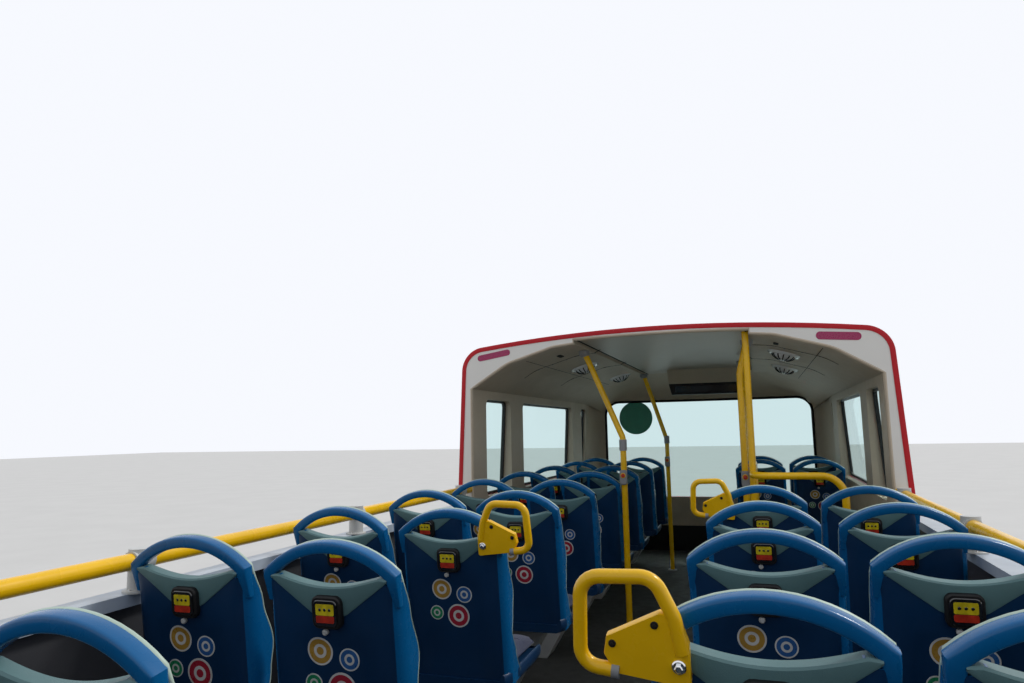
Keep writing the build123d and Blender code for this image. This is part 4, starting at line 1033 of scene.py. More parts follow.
# Ends of each pill on the fascia, as (y, z), and its height
PILLS = (((1.132, 4.112), (0.915, 4.146), 0.038), ((-0.855, 4.142), (-1.081, 4.124), 0.044))
pills = Form()
for (y0, z0), (y1, z1), height in PILLS:
    place = facing((rim_low.x, (y0 + y1) / 2, (z0 + z1) / 2), REARWARD, (0, z0 - z1, y1 - y0))
    width = math.dist((y0, z0), (y1, z1))
    pills.slab(width, height, height * 0.48, 0.0022, 0.001, 0, place, 6)
pills.show("rim_pills", ["pill_magenta"], "red_paint", 40)

# Front lining: carries the ceiling and the side linings on to the edge of the upper screen

SCREEN_CORNER = 0.140
SCREEN_EDGE = 0.012
WALL_INNER = 1.222
COVE_FOOT = 3.925
# Share of the ceiling's cove that runs to the screen's corner; the rest runs to its top edge
COVE_SHARE = 0.62
lining_end = box_of("canopy_ceiling")[1].x - 0.004
window_end = box_of("side_glazing")[1].x + 0.016
screens = shapes_of("windscreens")
lower_screen, upper_screen = sorted(screens, key=lambda box: box[1][2])
half_screen = upper_screen[1][1] - SCREEN_EDGE
top_screen = upper_screen[1][2] - SCREEN_EDGE
dome = face_tree(mesh_of("canopy_front"))
# Where the lining ends if it meets no dome
DOME_EDGE_X = 4.95


def passage(points, share):
    """A point a share of the way along a line."""
    lengths = [math.dist(a, b) for a, b in zip(points, points[1:])]
    run = share * sum(lengths)
    for (a, b), length in zip(zip(points, points[1:]), lengths):
        if run <= length + 1e-9:
            return tuple(u + (v - u) * run / length for u, v in zip(a, b))
        run -= length
    return points[-1]


inner_cove = [point for point in inner_line if point[0] >= -1e-3 and point[1] > 3.90]
corner_arc = [
    (half_screen - SCREEN_CORNER * (1 - math.cos(turn)), top_screen - SCREEN_CORNER * (1 - math.sin(turn)))
    for turn in [math.radians(15 * step) for step in range(7)]
]
wall_line = [(WALL_INNER, DECK_Z), (WALL_INNER - 0.004, 3.10), (WALL_INNER - 0.016, COVE_FOOT)]
screen_line = [(half_screen, DECK_Z), (half_screen, 3.10), corner_arc[0]]
# Where each line over the lining starts along the bus, then (y, z) at its start and at its end
runs = [(window_end, passage(wall_line, n / 8), passage(screen_line, n / 8)) for n in range(9)]
runs += [(lining_end, passage(inner_cove, COVE_SHARE * n / 7), passage(corner_arc, n / 7)) for n in range(8)]
for n in range(1, 7):
    start = passage(inner_cove, COVE_SHARE + (1 - COVE_SHARE) * n / 6)
    runs.append((lining_end, start, (corner_arc[-1][0] * (1 - n / 6), top_screen)))
runs += [(x, (-a[0], a[1]), (-b[0], b[1])) for x, a, b in reversed(runs[:-1])]
bands = []
for step in range(9):
    turn = math.pi / 2 * step / 8
    band = []
    for start_x, a, b in runs:
        spot = hit(dome, (lining_end - 0.5, b[0], min(b[1], top_screen) + 0.03), FORWARD)
        end_x = (spot.x if spot is not None else DOME_EDGE_X) - 0.006
        y, z = [u + (v - u) * (1 - math.cos(turn)) for u, v in zip(a, b)]
        band.append((start_x + (end_x - start_x) * math.sin(turn), y, z))
    bands.append(band)
lining = Form().add(*loft(bands, closed=False, caps=False))
behind = [[(x + 0.004, y * 1.004, z + 0.003) for x, y, z in band] for band in bands]
points, faces = loft(behind, closed=False, caps=False)
lining.add(points, [face[::-1] for face in faces])
lining.show("front_lining", ["cream_lining"], "cream_lining", 40)
gasket = Form().bar([(x - 0.006, y, z) for x, y, z in bands[-1]], 0.013, 8)
gasket.show("front_screen_seal", ["dark_rubber"], "black_plastic", 50)

# Window frames: a black ring round each side window

GLASS_DEPTH = 0.008
WINDOW_CORNER = 0.070
CANOPY_CORNER = 0.050
FRAME_LAP = 0.010
# The ring's section: how far outside the window's edge, and how far out from the glass
FRAME_SECTION = (
    (FRAME_LAP, 0.0145), (-FRAME_LAP, 0.0145), (-1.6 * FRAME_LAP, 0.004), (-1.6 * FRAME_LAP, -0.012),
    (0.0, -0.012), (FRAME_LAP, 0.0),
)


def frame_ring(box, corner):
    """A ring round one side window, which laps the wall outside and holds the glass inside."""
    (x0, y0, z0), (x1, y1, z1) = box
    side = 1 if y0 + y1 > 0 else -1
    foot, head = max(abs(y0), abs(y1)), min(abs(y0), abs(y1))
    lean = (foot - head) / (z1 - z0) if foot - head > GLASS_DEPTH else 0.0
    sections = []
    for grow, out in FRAME_SECTION:
        ring = []
        for x, z in rounded_outline(x1 - x0 + 2 * grow, z1 - z0 + 2 * grow, corner + grow):
            at_z = (z0 + z1) / 2 + z
            ring.append(((x0 + x1) / 2 + x, side * (foot + out - lean * (at_z - z0)), at_z))
        sections.append(ring)
    return loft(sections, loop=True)


window_frames = Form()
for box in shapes_of("side_glazing"):
    window_frames.add(*frame_ring(box, CANOPY_CORNER if box[0][2] > DECK_Z else WINDOW_CORNER))
window_frames.show("window_frames", ["black_frame"], "black_plastic", 40)

# Ceiling fittings: vents, slots, seams, studs beside the cross seams, and a grey middle panel with painted
# shadow along its edges

ceiling = face_tree(mesh_of("canopy_ceiling"))


def on_ceiling(x, y):
    """A place on the ceiling with its third axis pointing down into the bus and its second forward."""
    spot, normal, _, _ = ceiling.ray_cast(Vector((x, y, 3.70)), Vector(UP))
    return facing(spot, normal if normal.z < 0 else -normal, FORWARD)


def along_ceiling(x0, y0, x1, y1, steps):
    """Points on the ceiling from one place to another."""
    shares = [n / steps for n in range(steps + 1)]
    return [on_ceiling(x0 + (x1 - x0) * share, y0 + (y1 - y0) * share).translation for share in shares]


VENTS = ((2.55, 0.72), (3.85, 0.68), (2.25, -0.72), (3.35, -0.76))
VENT_RIM = ((0.078, -0.002), (0.078, 0.010), (0.084, 0.018), (0.096, 0.018), (0.106, 0.008), (0.108, -0.002))
cup_turns = [math.pi * n / 16 for n in range(8)]
vent_cup = [(0.074 * math.cos(turn), 0.008 + 0.044 * math.sin(turn)) for turn in cup_turns]
vent_slit = [(0.0762 * math.cos(turn), 0, 0.0082 + 0.0452 * math.sin(turn)) for turn in cup_turns[1:7]]
vents = Form()
for x, y in VENTS:
    place = on_ceiling(x, y)
    vents.turned(VENT_RIM, 36, 0, place)
    vents.turned([(0.074, -0.002), *vent_cup, (0.0008, 0.052)], 36, 0, place)
    for turn in range(0, 360, 30):
        vents.bar([place @ turn_by(turn) @ Vector(point) for point in vent_slit], 0.004, 6, 1)
vents.show("ceiling_vents", ["vent_white", "dark_rubber"], "pale_metal")

SLOTS = ((1.75, 0.70), (1.80, -0.66))
SEAM_ENDS = ((1.50, 0.86, 4.20, 0.86, 12), (1.50, -0.90, 4.20, -0.90, 12))
CROSS_SEAMS = (1.95, 2.95)
SEAM_HALF = 1.02
PANEL_START, PANEL_LENGTH, PANEL_HALF = 1.385, 2.985, 0.490
fittings = Form()
for x, y in SLOTS:
    fittings.slab(0.030, 0.11, 0.010, 0.003, 0.001, 0, on_ceiling(x, y), 3)
for ends in SEAM_ENDS:
    fittings.bar(along_ceiling(*ends), 0.0022, 5)
for x in CROSS_SEAMS:
    fittings.bar(along_ceiling(x, SEAM_HALF, x, -SEAM_HALF, 40), 0.0022, 5)
    for n in range(1, 20):
        fittings.disc(0.006, 10, 0.0025, 0.001, 1, on_ceiling(x + 0.018, SEAM_HALF * (1 - n / 10)))
rows = [PANEL_START + PANEL_LENGTH * n / 24 for n in range(25)]
panel = [along_ceiling(x, -PANEL_HALF, x, PANEL_HALF, 14) for x in rows]
for drop, turn_over in ((0.0045, False), (0.0005, True)):
    lowered = [[point - Vector((0, 0, drop)) for point in row] for row in panel]
    points, faces = loft(lowered, closed=False, caps=False)
    fittings.add(points, [face[::-1] for face in faces] if turn_over else faces, 2)
# Dark rods along the middle panel's long edges: painted shadow where the lowered panel steps down from the
# ceiling
for edge in (0, -1):
    fittings.bar([row[edge] - Vector((0, 0, 0.004)) for row in panel], 0.0055, 6)
fittings.show("ceiling_fittings", ["dark_rubber", "grey_plastic", "ceiling_grey"], "cream_lining", 40)

# Housing over the screen: a shroud and the black slab under it, as x from the housing's rear face and height

SLAB_TOP = 4.078
housing_low, housing_high = box_of("ceiling_housing")
shroud_top = housing_high.z - 0.004
SLAB_PROFILE = (
    (0.0, SLAB_TOP + 0.006), (-0.006, SLAB_TOP - 0.02), (0.012, housing_low.z + 0.004),
    (0.10, housing_low.z + 0.004), (0.12, SLAB_TOP + 0.006),
)
SHROUD_PROFILE = ((-0.10, shroud_top), (-0.004, SLAB_TOP), (0.13, SLAB_TOP), (0.24, shroud_top))
# Where the sections stand, and how far the foot of each is drawn in
HOUSING_ENDS = (
    (housing_low.y, 0.060), (housing_low.y + 0.012, 0.024),
    (housing_high.y - 0.012, -0.024), (housing_high.y, -0.060),
)
tall = housing_high.z - housing_low.z
housing = Form()
for profile, look in ((SLAB_PROFILE, 0), (SHROUD_PROFILE, 1)):
    sections = []
    for y, drawn in HOUSING_ENDS:
        in_y = [drawn * max(0.0, SLAB_TOP - z) / tall for x, z in profile]
        sections.append([(housing_low.x + x, y + step, z) for (x, z), step in zip(profile, in_y)])
    housing.add(*loft(sections), look)
middle = (housing_low.x - 0.002, (housing_low.y + housing_high.y) / 2, (SLAB_TOP + housing_low.z) / 2)
wide = housing_high.y - housing_low.y - 0.12
housing.slab(wide, 0.060, 0.010, 0.005, 0.001, 2, facing(middle, (-1, 0, -0.12)))
made = housing.show("screen_housing", ["black_plastic", "cream_lining", "gloss_black"], "black_plastic")
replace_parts(made, "ceiling_housing")

# A blank green disc stuck inside the upper screen

DISC_MIDDLE = (0.740, 3.775)
DISC_RADIUS = 0.178
screen_glass = face_tree(mesh_of("windscreens"))
loops = []
for share, lift in ((1.0, 0.0005), (1.0, 0.003), (0.75, 0.003), (0.5, 0.003), (0.25, 0.003), (0.02, 0.003)):
    loop = []
    for across, along in circle_outline(DISC_RADIUS * share, 40):
        y, z = DISC_MIDDLE[0] + across, DISC_MIDDLE[1] + along
        loop.append((hit(screen_glass, (4.5, y, z), FORWARD).x - lift, y, z))
    loops.append(loop)
Form().add(*loft(loops)).show("blank_disc", ["disc_green"], "grey_plastic", 40)

# Pole fittings: flanges at floor and ceiling, and grey collars below the bends. Bell pushes: a grey box that
# clasps the pole, with a plain red button.

SHORT_POLE = 1.2
COLLAR_DROP = 0.62
BEND_REACH = 0.1


def pole_end(low, high, z):
    """The middle of the poles' points near a height, within one pole's own box."""
    near = [
        vertex.co for vertex in mesh_of("poles").vertices
        if abs(vertex.co.z - z) < 0.03 and all(low[n] - 0.01 < vertex.co[n] < high[n] + 0.01 for n in (0, 1))
    ]
    return sum(near, Vector()) / len(near)


pole_fittings = Form()
pushes = Form()
for low, high in shapes_of("poles"):
    if high[2] - low[2] < SHORT_POLE:
        continue
    upper = low[2] > DECK_Z - 0.1
    base, head = pole_end(low, high, low[2]), pole_end(low, high, high[2])
    foot = at((base.x, base.y, low[2]))
    pole_fittings.disc(0.040, 24, 0.008, 0.003, 0, foot)
    for turn in (45, 135, 225, 315):
        pole_fittings.disc(0.004, 8, 0.004, 0.001, 1, foot @ turn_by(turn) @ at((0.030, 0, 0.006)))
    if upper:
        top = at((head.x, head.y, high[2] - 0.012)) @ turn_by(180, "X")
        pole_fittings.disc(0.036, 24, 0.040, 0.014, 2, top @ at((0, 0, -0.012)))
        if abs(head.y - base.y) > BEND_REACH:
            pole_fittings.pin((base.x, base.y, high[2] - COLLAR_DROP), (0, 0, 0.035), 0.0245, 18, 2)
    push = facing((base.x - 0.016, base.y, low[2] + (0.98 if upper else 1.20)), REARWARD)
    pushes.slab(0.046, 0.092, 0.012, 0.026, 0.006, 0, push)
    for radius, depth, bevel, look in ((0.0165, 0.029, 0.002, 1), (0.0125, 0.033, 0.003, 2)):
        pushes.disc(radius, 24, depth, bevel, look, push @ at((0, 0.012, 0)))
pole_fittings.show("pole_fittings", ["pale_metal", "chrome", "grey_plastic"], "pale_metal")
pushes.show("bell_pushes", ["grey_plastic", "rail_yellow", "label_red"], "grey_plastic")

# Places on the body, found by looking at it from outside

FAR = 9.0
END_NODES = (
    "front_panel", "canopy_front", "destination_panel", "windscreens", "bumpers", "lamps", "rear_panel",
    "engine_cover",
)
end_skin = face_tree(*[mesh_of(node) for node in END_NODES])


def on_end(end, y, z, lift=0.0):
    """A place on the front (1) or the rear (-1) of the bus that faces outwards."""
    spot, normal, _, _ = end_skin.ray_cast(Vector((end * FAR, y, z)), Vector((-end, 0, 0)))
    out = normal if normal.x * end > 0 else -normal
    return facing(spot + out * lift, out)


def line_on_end(end, spots, lift):
    """A line of (y, z) places laid on the front or the rear."""
    return [on_end(end, y, z, lift).translation for y, z in spots]


def ring_on_end(end, box, grow, corner):
    """A closed line round an opening in the front or the rear, laid on the skin beside it."""
    (_, y0, z0), (_, y1, z1) = box
    outline = rounded_outline(y1 - y0 + 2 * grow, z1 - z0 + 2 * grow, corner, 6)
    outline = [(y + (y0 + y1) / 2, z + (z0 + z1) / 2) for y, z in outline]
    return line_on_end(end, spaced(outline + outline[:1], 0.09)[:-1], 0)


def on_wall(side, x, z, lift=0.0):
    """A place on the left (1) or the right (-1) wall that faces outwards."""
    return facing((x, side * (SIDE_Y + lift), z), (0, side, 0))


# Screen rubbers and wipers

SCREEN_LAP = 0.014
WIPER_Z = lower_screen[0][2] - 0.055
# Wipers: pivot across the bus, and where the blade starts and ends
WIPERS = ((-0.10, -0.98, -0.22), (0.78, -0.06, 0.72))
front_trim = Form()
for box in screens:
    front_trim.bar(ring_on_end(1, box, SCREEN_LAP, SCREEN_CORNER + SCREEN_LAP), 0.012, 8, loop=True)
front_trim.bar(ring_on_end(1, box_of("destination_panel"), 0.010, 0.04), 0.009, 8, loop=True)
for pivot_y, y0, y1 in WIPERS:
    front_trim.disc(0.026, 20, 0.030, 0.008, 0, on_end(1, pivot_y, WIPER_Z))
    middle = (y0 + y1) / 2
    knees = ((pivot_y, 0.0, 0.030), ((pivot_y + middle) / 2, 0.05, 0.045), (middle, 0.135, 0.026))
    front_trim.bar([on_end(1, y, WIPER_Z + rise, lift).translation for y, rise, lift in knees], 0.0075, 8)
    blade = [(y0 + (y1 - y0) * n / 10, WIPER_Z + 0.13) for n in range(11)]
    for lift, radius in ((0.018, 0.006), (0.007, 0.004)):
        front_trim.bar(line_on_end(1, blade, lift), radius, 6)
front_trim.show("front_rubbers", ["dark_rubber"], "black_plastic", 40)

# Slats in the front bumper

SLAT_HALF = 0.60
SLAT_LIFT = 0.004
slats = Form()
for z in (0.40, 0.44, 0.48, 0.52, 0.56):
    spots = [(SLAT_HALF * (n / 10 - 1), z) for n in range(21)]
    slats.bar(line_on_end(1, spots, SLAT_LIFT), 0.008, 8)
for y in (-SLAT_HALF, SLAT_HALF):
    slats.bar(line_on_end(1, ((y, 0.385), (y, 0.575)), SLAT_LIFT), 0.009, 8)
slats.show("bumper_slats", ["grey_plastic"], "grey_plastic", 40)

# Lamps: each a chrome ring under a domed lens with two ribs; rubber round each cluster; side markers

LAMP_LOOKS = ["chrome", "lamp_clear", "lamp_amber", "lamp_red", "dark_rubber"]
# On each side: end of the bus, distance from its middle, height, radius and look
LAMPS = (
    (1, 0.995, 0.79, 0.060, 1), (1, 0.845, 0.79, 0.060, 1), (1, 1.03, 0.565, 0.040, 2),
    (-1, 1.095, 0.84, 0.052, 1), (-1, 1.095, 0.98, 0.052, 2), (-1, 1.095, 1.12, 0.052, 3),
    (-1, 1.095, 1.27, 0.052, 3), (-1, 0.98, 0.46, 0.036, 3),
)
# Shares of the radius, and heights
LAMP_RIM = ((0.99, -0.010), (1.06, 0.000), (1.05, 0.009), (0.97, 0.012), (0.92, 0.006))
LAMP_DOME = [(0.92 * (1 - n / 7), 0.006 + 0.012 * math.sin(n / 7 * 1.5)) for n in range(7)]
# Side markers: along the bus and height
MARKERS = ((3.30, 0.60), (1.60, 0.60), (0.05, 0.60), (-1.70, 0.60), (-4.30, 0.60), (1.72, 0.98))
lamps = Form()
for side in (1, -1):
    for end, y, z, radius, look in LAMPS:
        place = on_end(end, side * y, z, 0.002)
        lamps.turned([(radius * share, height) for share, height in LAMP_RIM], 32, 0, place)
        lens = [(radius * share, height) for share, height in ((0.94, 0.004), *LAMP_DOME)]
        lamps.turned([*lens, (0.0008, 0.0185)], 32, look, place)
        for share in (0.66, 0.40):
            r = radius * share
            lamps.turned(((r, 0.012), (r + 0.002, 0.018), (r + 0.004, 0.012)), 32, look, place)
for low, high in shapes_of("lamps"):
    lamps.bar(ring_on_end(1 if low[0] > 0 else -1, (low, high), 0.006, 0.045), 0.006, 8, 4, loop=True)
for side in (1, -1):
    for x, z in MARKERS:
        lamps.slab(0.085, 0.036, 0.017, 0.010, 0.004, 4, on_wall(side, x, z))
        lamps.slab(0.068, 0.024, 0.011, 0.016, 0.005, 2, on_wall(side, x, z))
lamps.show("lamp_fittings", LAMP_LOOKS, "lamp_glass")

# Blank plates, front and rear

plates = Form()
for end, z, look in ((1, 0.72, 0), (-1, 0.52, 1)):
    place = on_end(end, 0, z)
    plates.slab(0.545, 0.135, 0.012, 0.010, 0.003, 2, place, 4)
    plates.slab(0.520, 0.111, 0.008, 0.0125, 0.001, look, place, 4)
plates.show("blank_plates", ["plate_white", "plate_yellow", "black_plastic"], "black_plastic")

# Mirror glass on the rear of each head, and the clamp above it

HEAD_HEIGHT = 0.39
HEAD_OUT = 0.095
mirrors = Form()
for low, high in shapes_of("mirrors"):
    side = 1 if low[1] > 0 else -1
    x, y, z = low[0], side * (SIDE_Y + HEAD_OUT), low[2] + HEAD_HEIGHT / 2
    place = facing((x, y, z), REARWARD)
    mirrors.slab(0.136, 0.356, 0.030, 0.003, 0.001, 1, place)
    mirrors.slab(0.122, 0.342, 0.026, 0.0045, 0.001, 0, place)
    mirrors.pin((x + 0.045, y, low[2] + HEAD_HEIGHT + 0.015), (0, 0, 0.025), 0.024, 16, 1)
mirrors.show("mirror_glass", ["mirror_glass", "black_plastic"], "black_plastic")

# Side trim: mouldings between the decks, lips round the arches, hatches with locks and hinges, and the rails
# of the hopper windows

# Arches: middle along the bus and radius
ARCHES = ((2.55, 0.575), (-3.05, 0.530))
AXLE_Z = 0.478
# Hatches in the skirt: side, middle along the bus, middle height, length and height
HATCHES = (
    (1, 1.05, 0.58, 0.86, 0.42), (1, -0.60, 0.58, 1.20, 0.42), (1, -1.95, 0.58, 0.80, 0.42),
    (1, -4.20, 0.66, 0.90, 0.56), (-1, 0.90, 0.58, 1.10, 0.42), (-1, -0.70, 0.58, 1.20, 0.42),
    (-1, -1.95, 0.58, 0.80, 0.42), (-1, -4.20, 0.66, 0.90, 0.56), (-1, -0.70, 0.93, 0.30, 0.20),
    (-1, 4.15, 0.70, 0.70, 0.60),
)
# Share of a window's height where its hopper's rail runs, for windows that are long enough to have one
HOPPER_SHARE = 0.70
HOPPER_MIN = 1.2
walls_low, walls_high = box_of("side_walls")
half_turns = [math.pi * n / 28 for n in range(29)]
trim = Form()
for side in (1, -1):
    middle = (walls_low.x + walls_high.x) / 2
    moulding = on_wall(side, middle, walls_high.z, -0.001)
    trim.slab(walls_high.x - walls_low.x, 0.034, 0.004, 0.006, 0.002, 0, moulding, 2)
    for x, radius in ARCHES:
        arc = [(x + radius * math.cos(turn), AXLE_Z + radius * math.sin(turn)) for turn in half_turns]
        line = [(x + radius, walls_low.z), *arc, (x - radius, walls_low.z)]
        trim.bar([(a, side * (SIDE_Y - 0.001), b) for a, b in line], 0.010, 8, 1)
for side, x, z, long, tall in HATCHES:
    place = on_wall(side, x, z)
    seam = [place @ Vector((u, v, 0)) for u, v in rounded_outline(long, tall, 0.030)]
    trim.bar(seam, 0.0035, 6, 1, loop=True)
    for u in (-0.36 * long, 0.36 * long):
        lock = place @ at((u, -tall / 2 + 0.05, 0))
        trim.disc(0.014, 18, 0.004, 0.001, 2, lock)
        trim.slab(0.013, 0.004, 0.001, 0.0055, 0.001, 1, lock, 2)
        trim.slab(0.070, 0.016, 0.007, 0.008, 0.003, 0, place @ at((u, tall / 2 + 0.004, 0.002)), 3)
for low, high in shapes_of("side_glazing"):
    if low[2] > DECK_Z or high[0] - low[0] < HOPPER_MIN:
        continue
    side = 1 if low[1] > 0 else -1
    inner_y, outer_y = sorted((abs(low[1]), abs(high[1])))
    x, z = (low[0] + high[0]) / 2, low[2] + HOPPER_SHARE * (high[2] - low[2])
    for y, out in ((outer_y, side), (inner_y, -side)):
        rail = facing((x, side * y, z), (0, out, 0))
        trim.slab(high[0] - low[0] - 0.024, 0.030, 0.006, 0.008, 0.003, 1, rail, 3)
    for dx in (-0.30, 0.30):
        catch = facing((x + dx, side * (inner_y - 0.008), z + 0.004), (0, -side, 0))
        trim.slab(0.060, 0.020, 0.008, 0.014, 0.005, 0, catch, 4)
trim.show("side_trim", ["pale_metal", "dark_rubber", "chrome"], "black_plastic")

# Engine cover: louvres over a dark recess, latches and hinge barrels, all of which lift with the cover

cover_low, cover_high = box_of("engine_cover")
cover_z = (cover_low.z + cover_high.z) / 2
cover_face = facing((cover_low.x, 0, cover_z), REARWARD)
LOUVRE_SECTION = ((0.0, -0.016), (0.004, -0.020), (0.016, -0.018), (0.004, 0.014), (0.0, 0.016))
LOUVRE_PITCH = 0.043
LOUVRE_POSTS = (-0.68, -0.23, 0.23, 0.68)
louvres = Form()
louvres.slab(1.40, 0.50, 0.03, 0.003, 0.001, 1, cover_face, 4)
for n in range(-5, 6):
    middle = LOUVRE_PITCH * n
    sections = [[(y, middle + rise, out) for out, rise in LOUVRE_SECTION] for y in LOUVRE_POSTS]
    louvres.add(*loft(sections), 0, cover_face)
for y in (-0.69, -0.23, 0.23, 0.69):
    louvres.slab(0.022, 0.49, 0.006, 0.017, 0.003, 0, cover_face @ at((y, 0, 0)), 3)
for y in (-0.62, 0.62):
    latch = cover_face @ at((y, -0.325, 0))
    louvres.slab(0.090, 0.050, 0.010, 0.006, 0.002, 2, latch, 4)
    louvres.slab(0.060, 0.022, 0.009, 0.014, 0.004, 3, latch, 4)
    hinge = cover_face @ Vector((y, cover_high.z - cover_z - 0.010, 0.004))
    louvres.pin(hinge, (0, 0.05, 0), 0.008, 12, 3)
louvre_looks = ["red_paint", "black_plastic", "grey_plastic", "chrome"]
louvres.show("engine_louvres", louvre_looks, "red_paint", body="engine_cover")

# Entrance doors: rubber round each glass, soft edges where the leaves meet, and a rail inside each leaf

RAIL_FOOT, RAIL_HEAD = 1.02, 1.52
for word, inwards in (("front", 1), ("rear", -1)):
    leaf_low, leaf_high = box_of(f"door_leaf_{word}")
    glass_low, glass_high = box_of(f"door_glass_{word}")
    middle, reach = (glass_low + glass_high) / 2, glass_high - glass_low
    door = Form()
    for y in (leaf_high.y, leaf_low.y):
        outline = rounded_outline(reach.x + 0.012, reach.z + 0.012, 0.045)
        door.bar([(middle.x + u, y, middle.z + v) for u, v in outline], 0.007, 8, loop=True)
    free_x = leaf_low.x if inwards > 0 else leaf_high.x
    edge_y = leaf_high.y - 0.008
    door.bar(((free_x, edge_y, leaf_low.z + 0.004), (free_x, edge_y, leaf_high.z - 0.004)), 0.0055, 10)
    x, y0, y1 = free_x + inwards * 0.075, leaf_low.y, leaf_low.y - 0.034
    path = [(x, y0, RAIL_FOOT), (x, y1, RAIL_FOOT), (x, y1, RAIL_HEAD), (x, y0, RAIL_HEAD)]
    door.bar(rounded(path, 0.022, 4), 0.010, 12, 1)
    looks, leaf = ["dark_rubber", "rail_yellow"], f"entrance_leaf_{word}"
    door.show(f"door_fittings_{word}", looks, "black_plastic", 40, leaf)

# Wheels: tyres with ribs and shoulder blocks, wheel nuts with pointers, and hub caps

TYRE_RADIUS = 0.478
TYRE_WIDTH = 0.275
GROOVES = (-0.066, -0.022, 0.022, 0.066)
GROOVE_DEPTH = 0.011
BLOCKS = 36
# Share of a block's pitch, and how deep its shoulder is cut there
BLOCK_CUTS = ((0.0, 0.0), (0.80, 0.0), (0.83, 0.008), (0.97, 0.008))
# Half of the tyre's section from bead to shoulder: radius and distance from its middle
SIDEWALL = (
    (0.292, 0.116), (0.300, 0.126), (0.335, 0.134), (0.338, 0.1365), (0.350, 0.1365), (0.354, 0.134),
    (0.400, 0.1372), (0.438, 0.133), (0.460, 0.124), (0.4735, 0.112), (TYRE_RADIUS, 0.100),
)


def tyre_mesh(places):
    """Tyres along Y at some places: sidewalls with a raised band, ribs, and blocks along the shoulders."""
    deep = TYRE_RADIUS - GROOVE_DEPTH
    tread = []
    for y in GROOVES:
        tread += [(TYRE_RADIUS, y - 0.006), (deep, y - 0.0045), (deep, y + 0.0045), (TYRE_RADIUS, y + 0.006)]
    profile = [(r, -y) for r, y in SIDEWALL] + tread + list(SIDEWALL[::-1])
    profile.append(profile[0])
    sections = []
    for block in range(BLOCKS):
        for share, cut in BLOCK_CUTS:
            turn = 2 * math.pi * (block + share) / BLOCKS
            cuts = [cut if abs(y) > 0.075 and r > 0.455 else 0.0 for r, y in profile]
            ring = [(r - depth, y) for (r, y), depth in zip(profile, cuts)]
            sections.append([(r * math.sin(turn), y, r * math.cos(turn)) for r, y in ring])
    form = Form()
    for place in places:
        form.add(*loft(sections, closed=False, caps=False, loop=True), 0, at(place))
    return form.mesh("treaded", ["tyre"], 30)


NUT_CIRCLE = 0.1675
NUTS = 10
# Washer, nut and stud: radius, sides, depth, bevel and look
NUT_PARTS = ((0.019, 16, 0.004, 0.001, 1), (0.0165, 6, 0.022, 0.003, 0), (0.008, 10, 0.028, 0.002, 0))
POINTER = ((0.020, -0.004), (0.020, 0.004), (0.034, 0.0))
BOLT_CIRCLE = 0.044
HUB_LOOKS = ["wheel_silver", "dark_rubber", "rail_yellow"]
# Axle, and the first words of its bodies, its wheel nodes and its tyre nodes
WHEELS = (
    ("front", "front_wheel", "wheel_front", "tyre_front"),
    ("rear", "rear_wheels", "wheels_rear", "tyres_rear"),
)
for axle, body_word, wheel_word, tyre_word in WHEELS:
    for side, word in ((1, "left"), (-1, "right")):
        body, tyre_node = f"{body_word}_{word}", f"{tyre_word}_{word}"
        low, high = box_of(tyre_node)
        centre = (low + high) / 2
        apart = (high.y - low.y - TYRE_WIDTH) / 2
        rows = (centre.y - apart, centre.y + apart) if axle == "rear" else (centre.y,)
        tyres = tyre_mesh([(centre.x, y, centre.z) for y in rows])
        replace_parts(show(f"{tyre_node}_treaded", tyres, body), tyre_node)
        skin = face_tree(mesh_of(f"{wheel_word}_{word}"))
        out = (0, side, 0)
        hub = Form()
        for n in range(NUTS):
            turn = 2 * math.pi * n / NUTS
            x, z = centre.x + NUT_CIRCLE * math.cos(turn), centre.z + NUT_CIRCLE * math.sin(turn)
            place = facing(hit(skin, (x, side * 2.0, z), (0, -side, 0)), out)
            for radius, steps, depth, bevel, look in NUT_PARTS:
                hub.disc(radius, steps, depth, bevel, look, place)
            pointer = place @ Matrix.Rotation(-side * turn, 4, "Z") @ at((0, 0, 0.010))
            hub.add(*plate(POINTER, 0.004), 2, pointer)
            hub.disc(0.0205, 16, 0.004, 0.001, 2, pointer)
        cap = facing(hit(skin, (centre.x, side * 2.0, centre.z), (0, -side, 0)), out)
        hub.disc(0.058, 32, 0.010, 0.005, 0, cap)
        for turn in range(0, 360, 60):
            hub.disc(0.006, 6, 0.006, 0.001, 0, cap @ turn_by(turn) @ at((BOLT_CIRCLE, 0, 0.008)))
        hub.show(f"wheel_nuts_{axle}_{word}", HUB_LOOKS, "wheel_silver", body=body)

# Driver's seat: a bellows on a base, padded cushion, back and head rest, and an arm rest

seat_low, seat_high = box_of("driver_seat")
DRIVER = Vector((seat_low.x + 0.310, (seat_low.y + seat_high.y) / 2, seat_low.z))
driver_place = at(DRIVER)
FOLDS = [(0.118 + 0.018 * (n % 2), 0.040 + 0.022 * n) for n in range(8)]
# Foot, frame and back shell: width, length, corner, depth, bevel and place
SEAT_PLATES = (
    (0.36, 0.34, 0.04, 0.020, 0.004, at((0.02, 0, 0))),
    (0.42, 0.42, 0.05, 0.040, 0.008, at((0.01, 0, 0.212))),
    (0.60, 0.40, 0.07, 0.030, 0.010, at((-0.306, 0, 0.60)) @ upright),
)
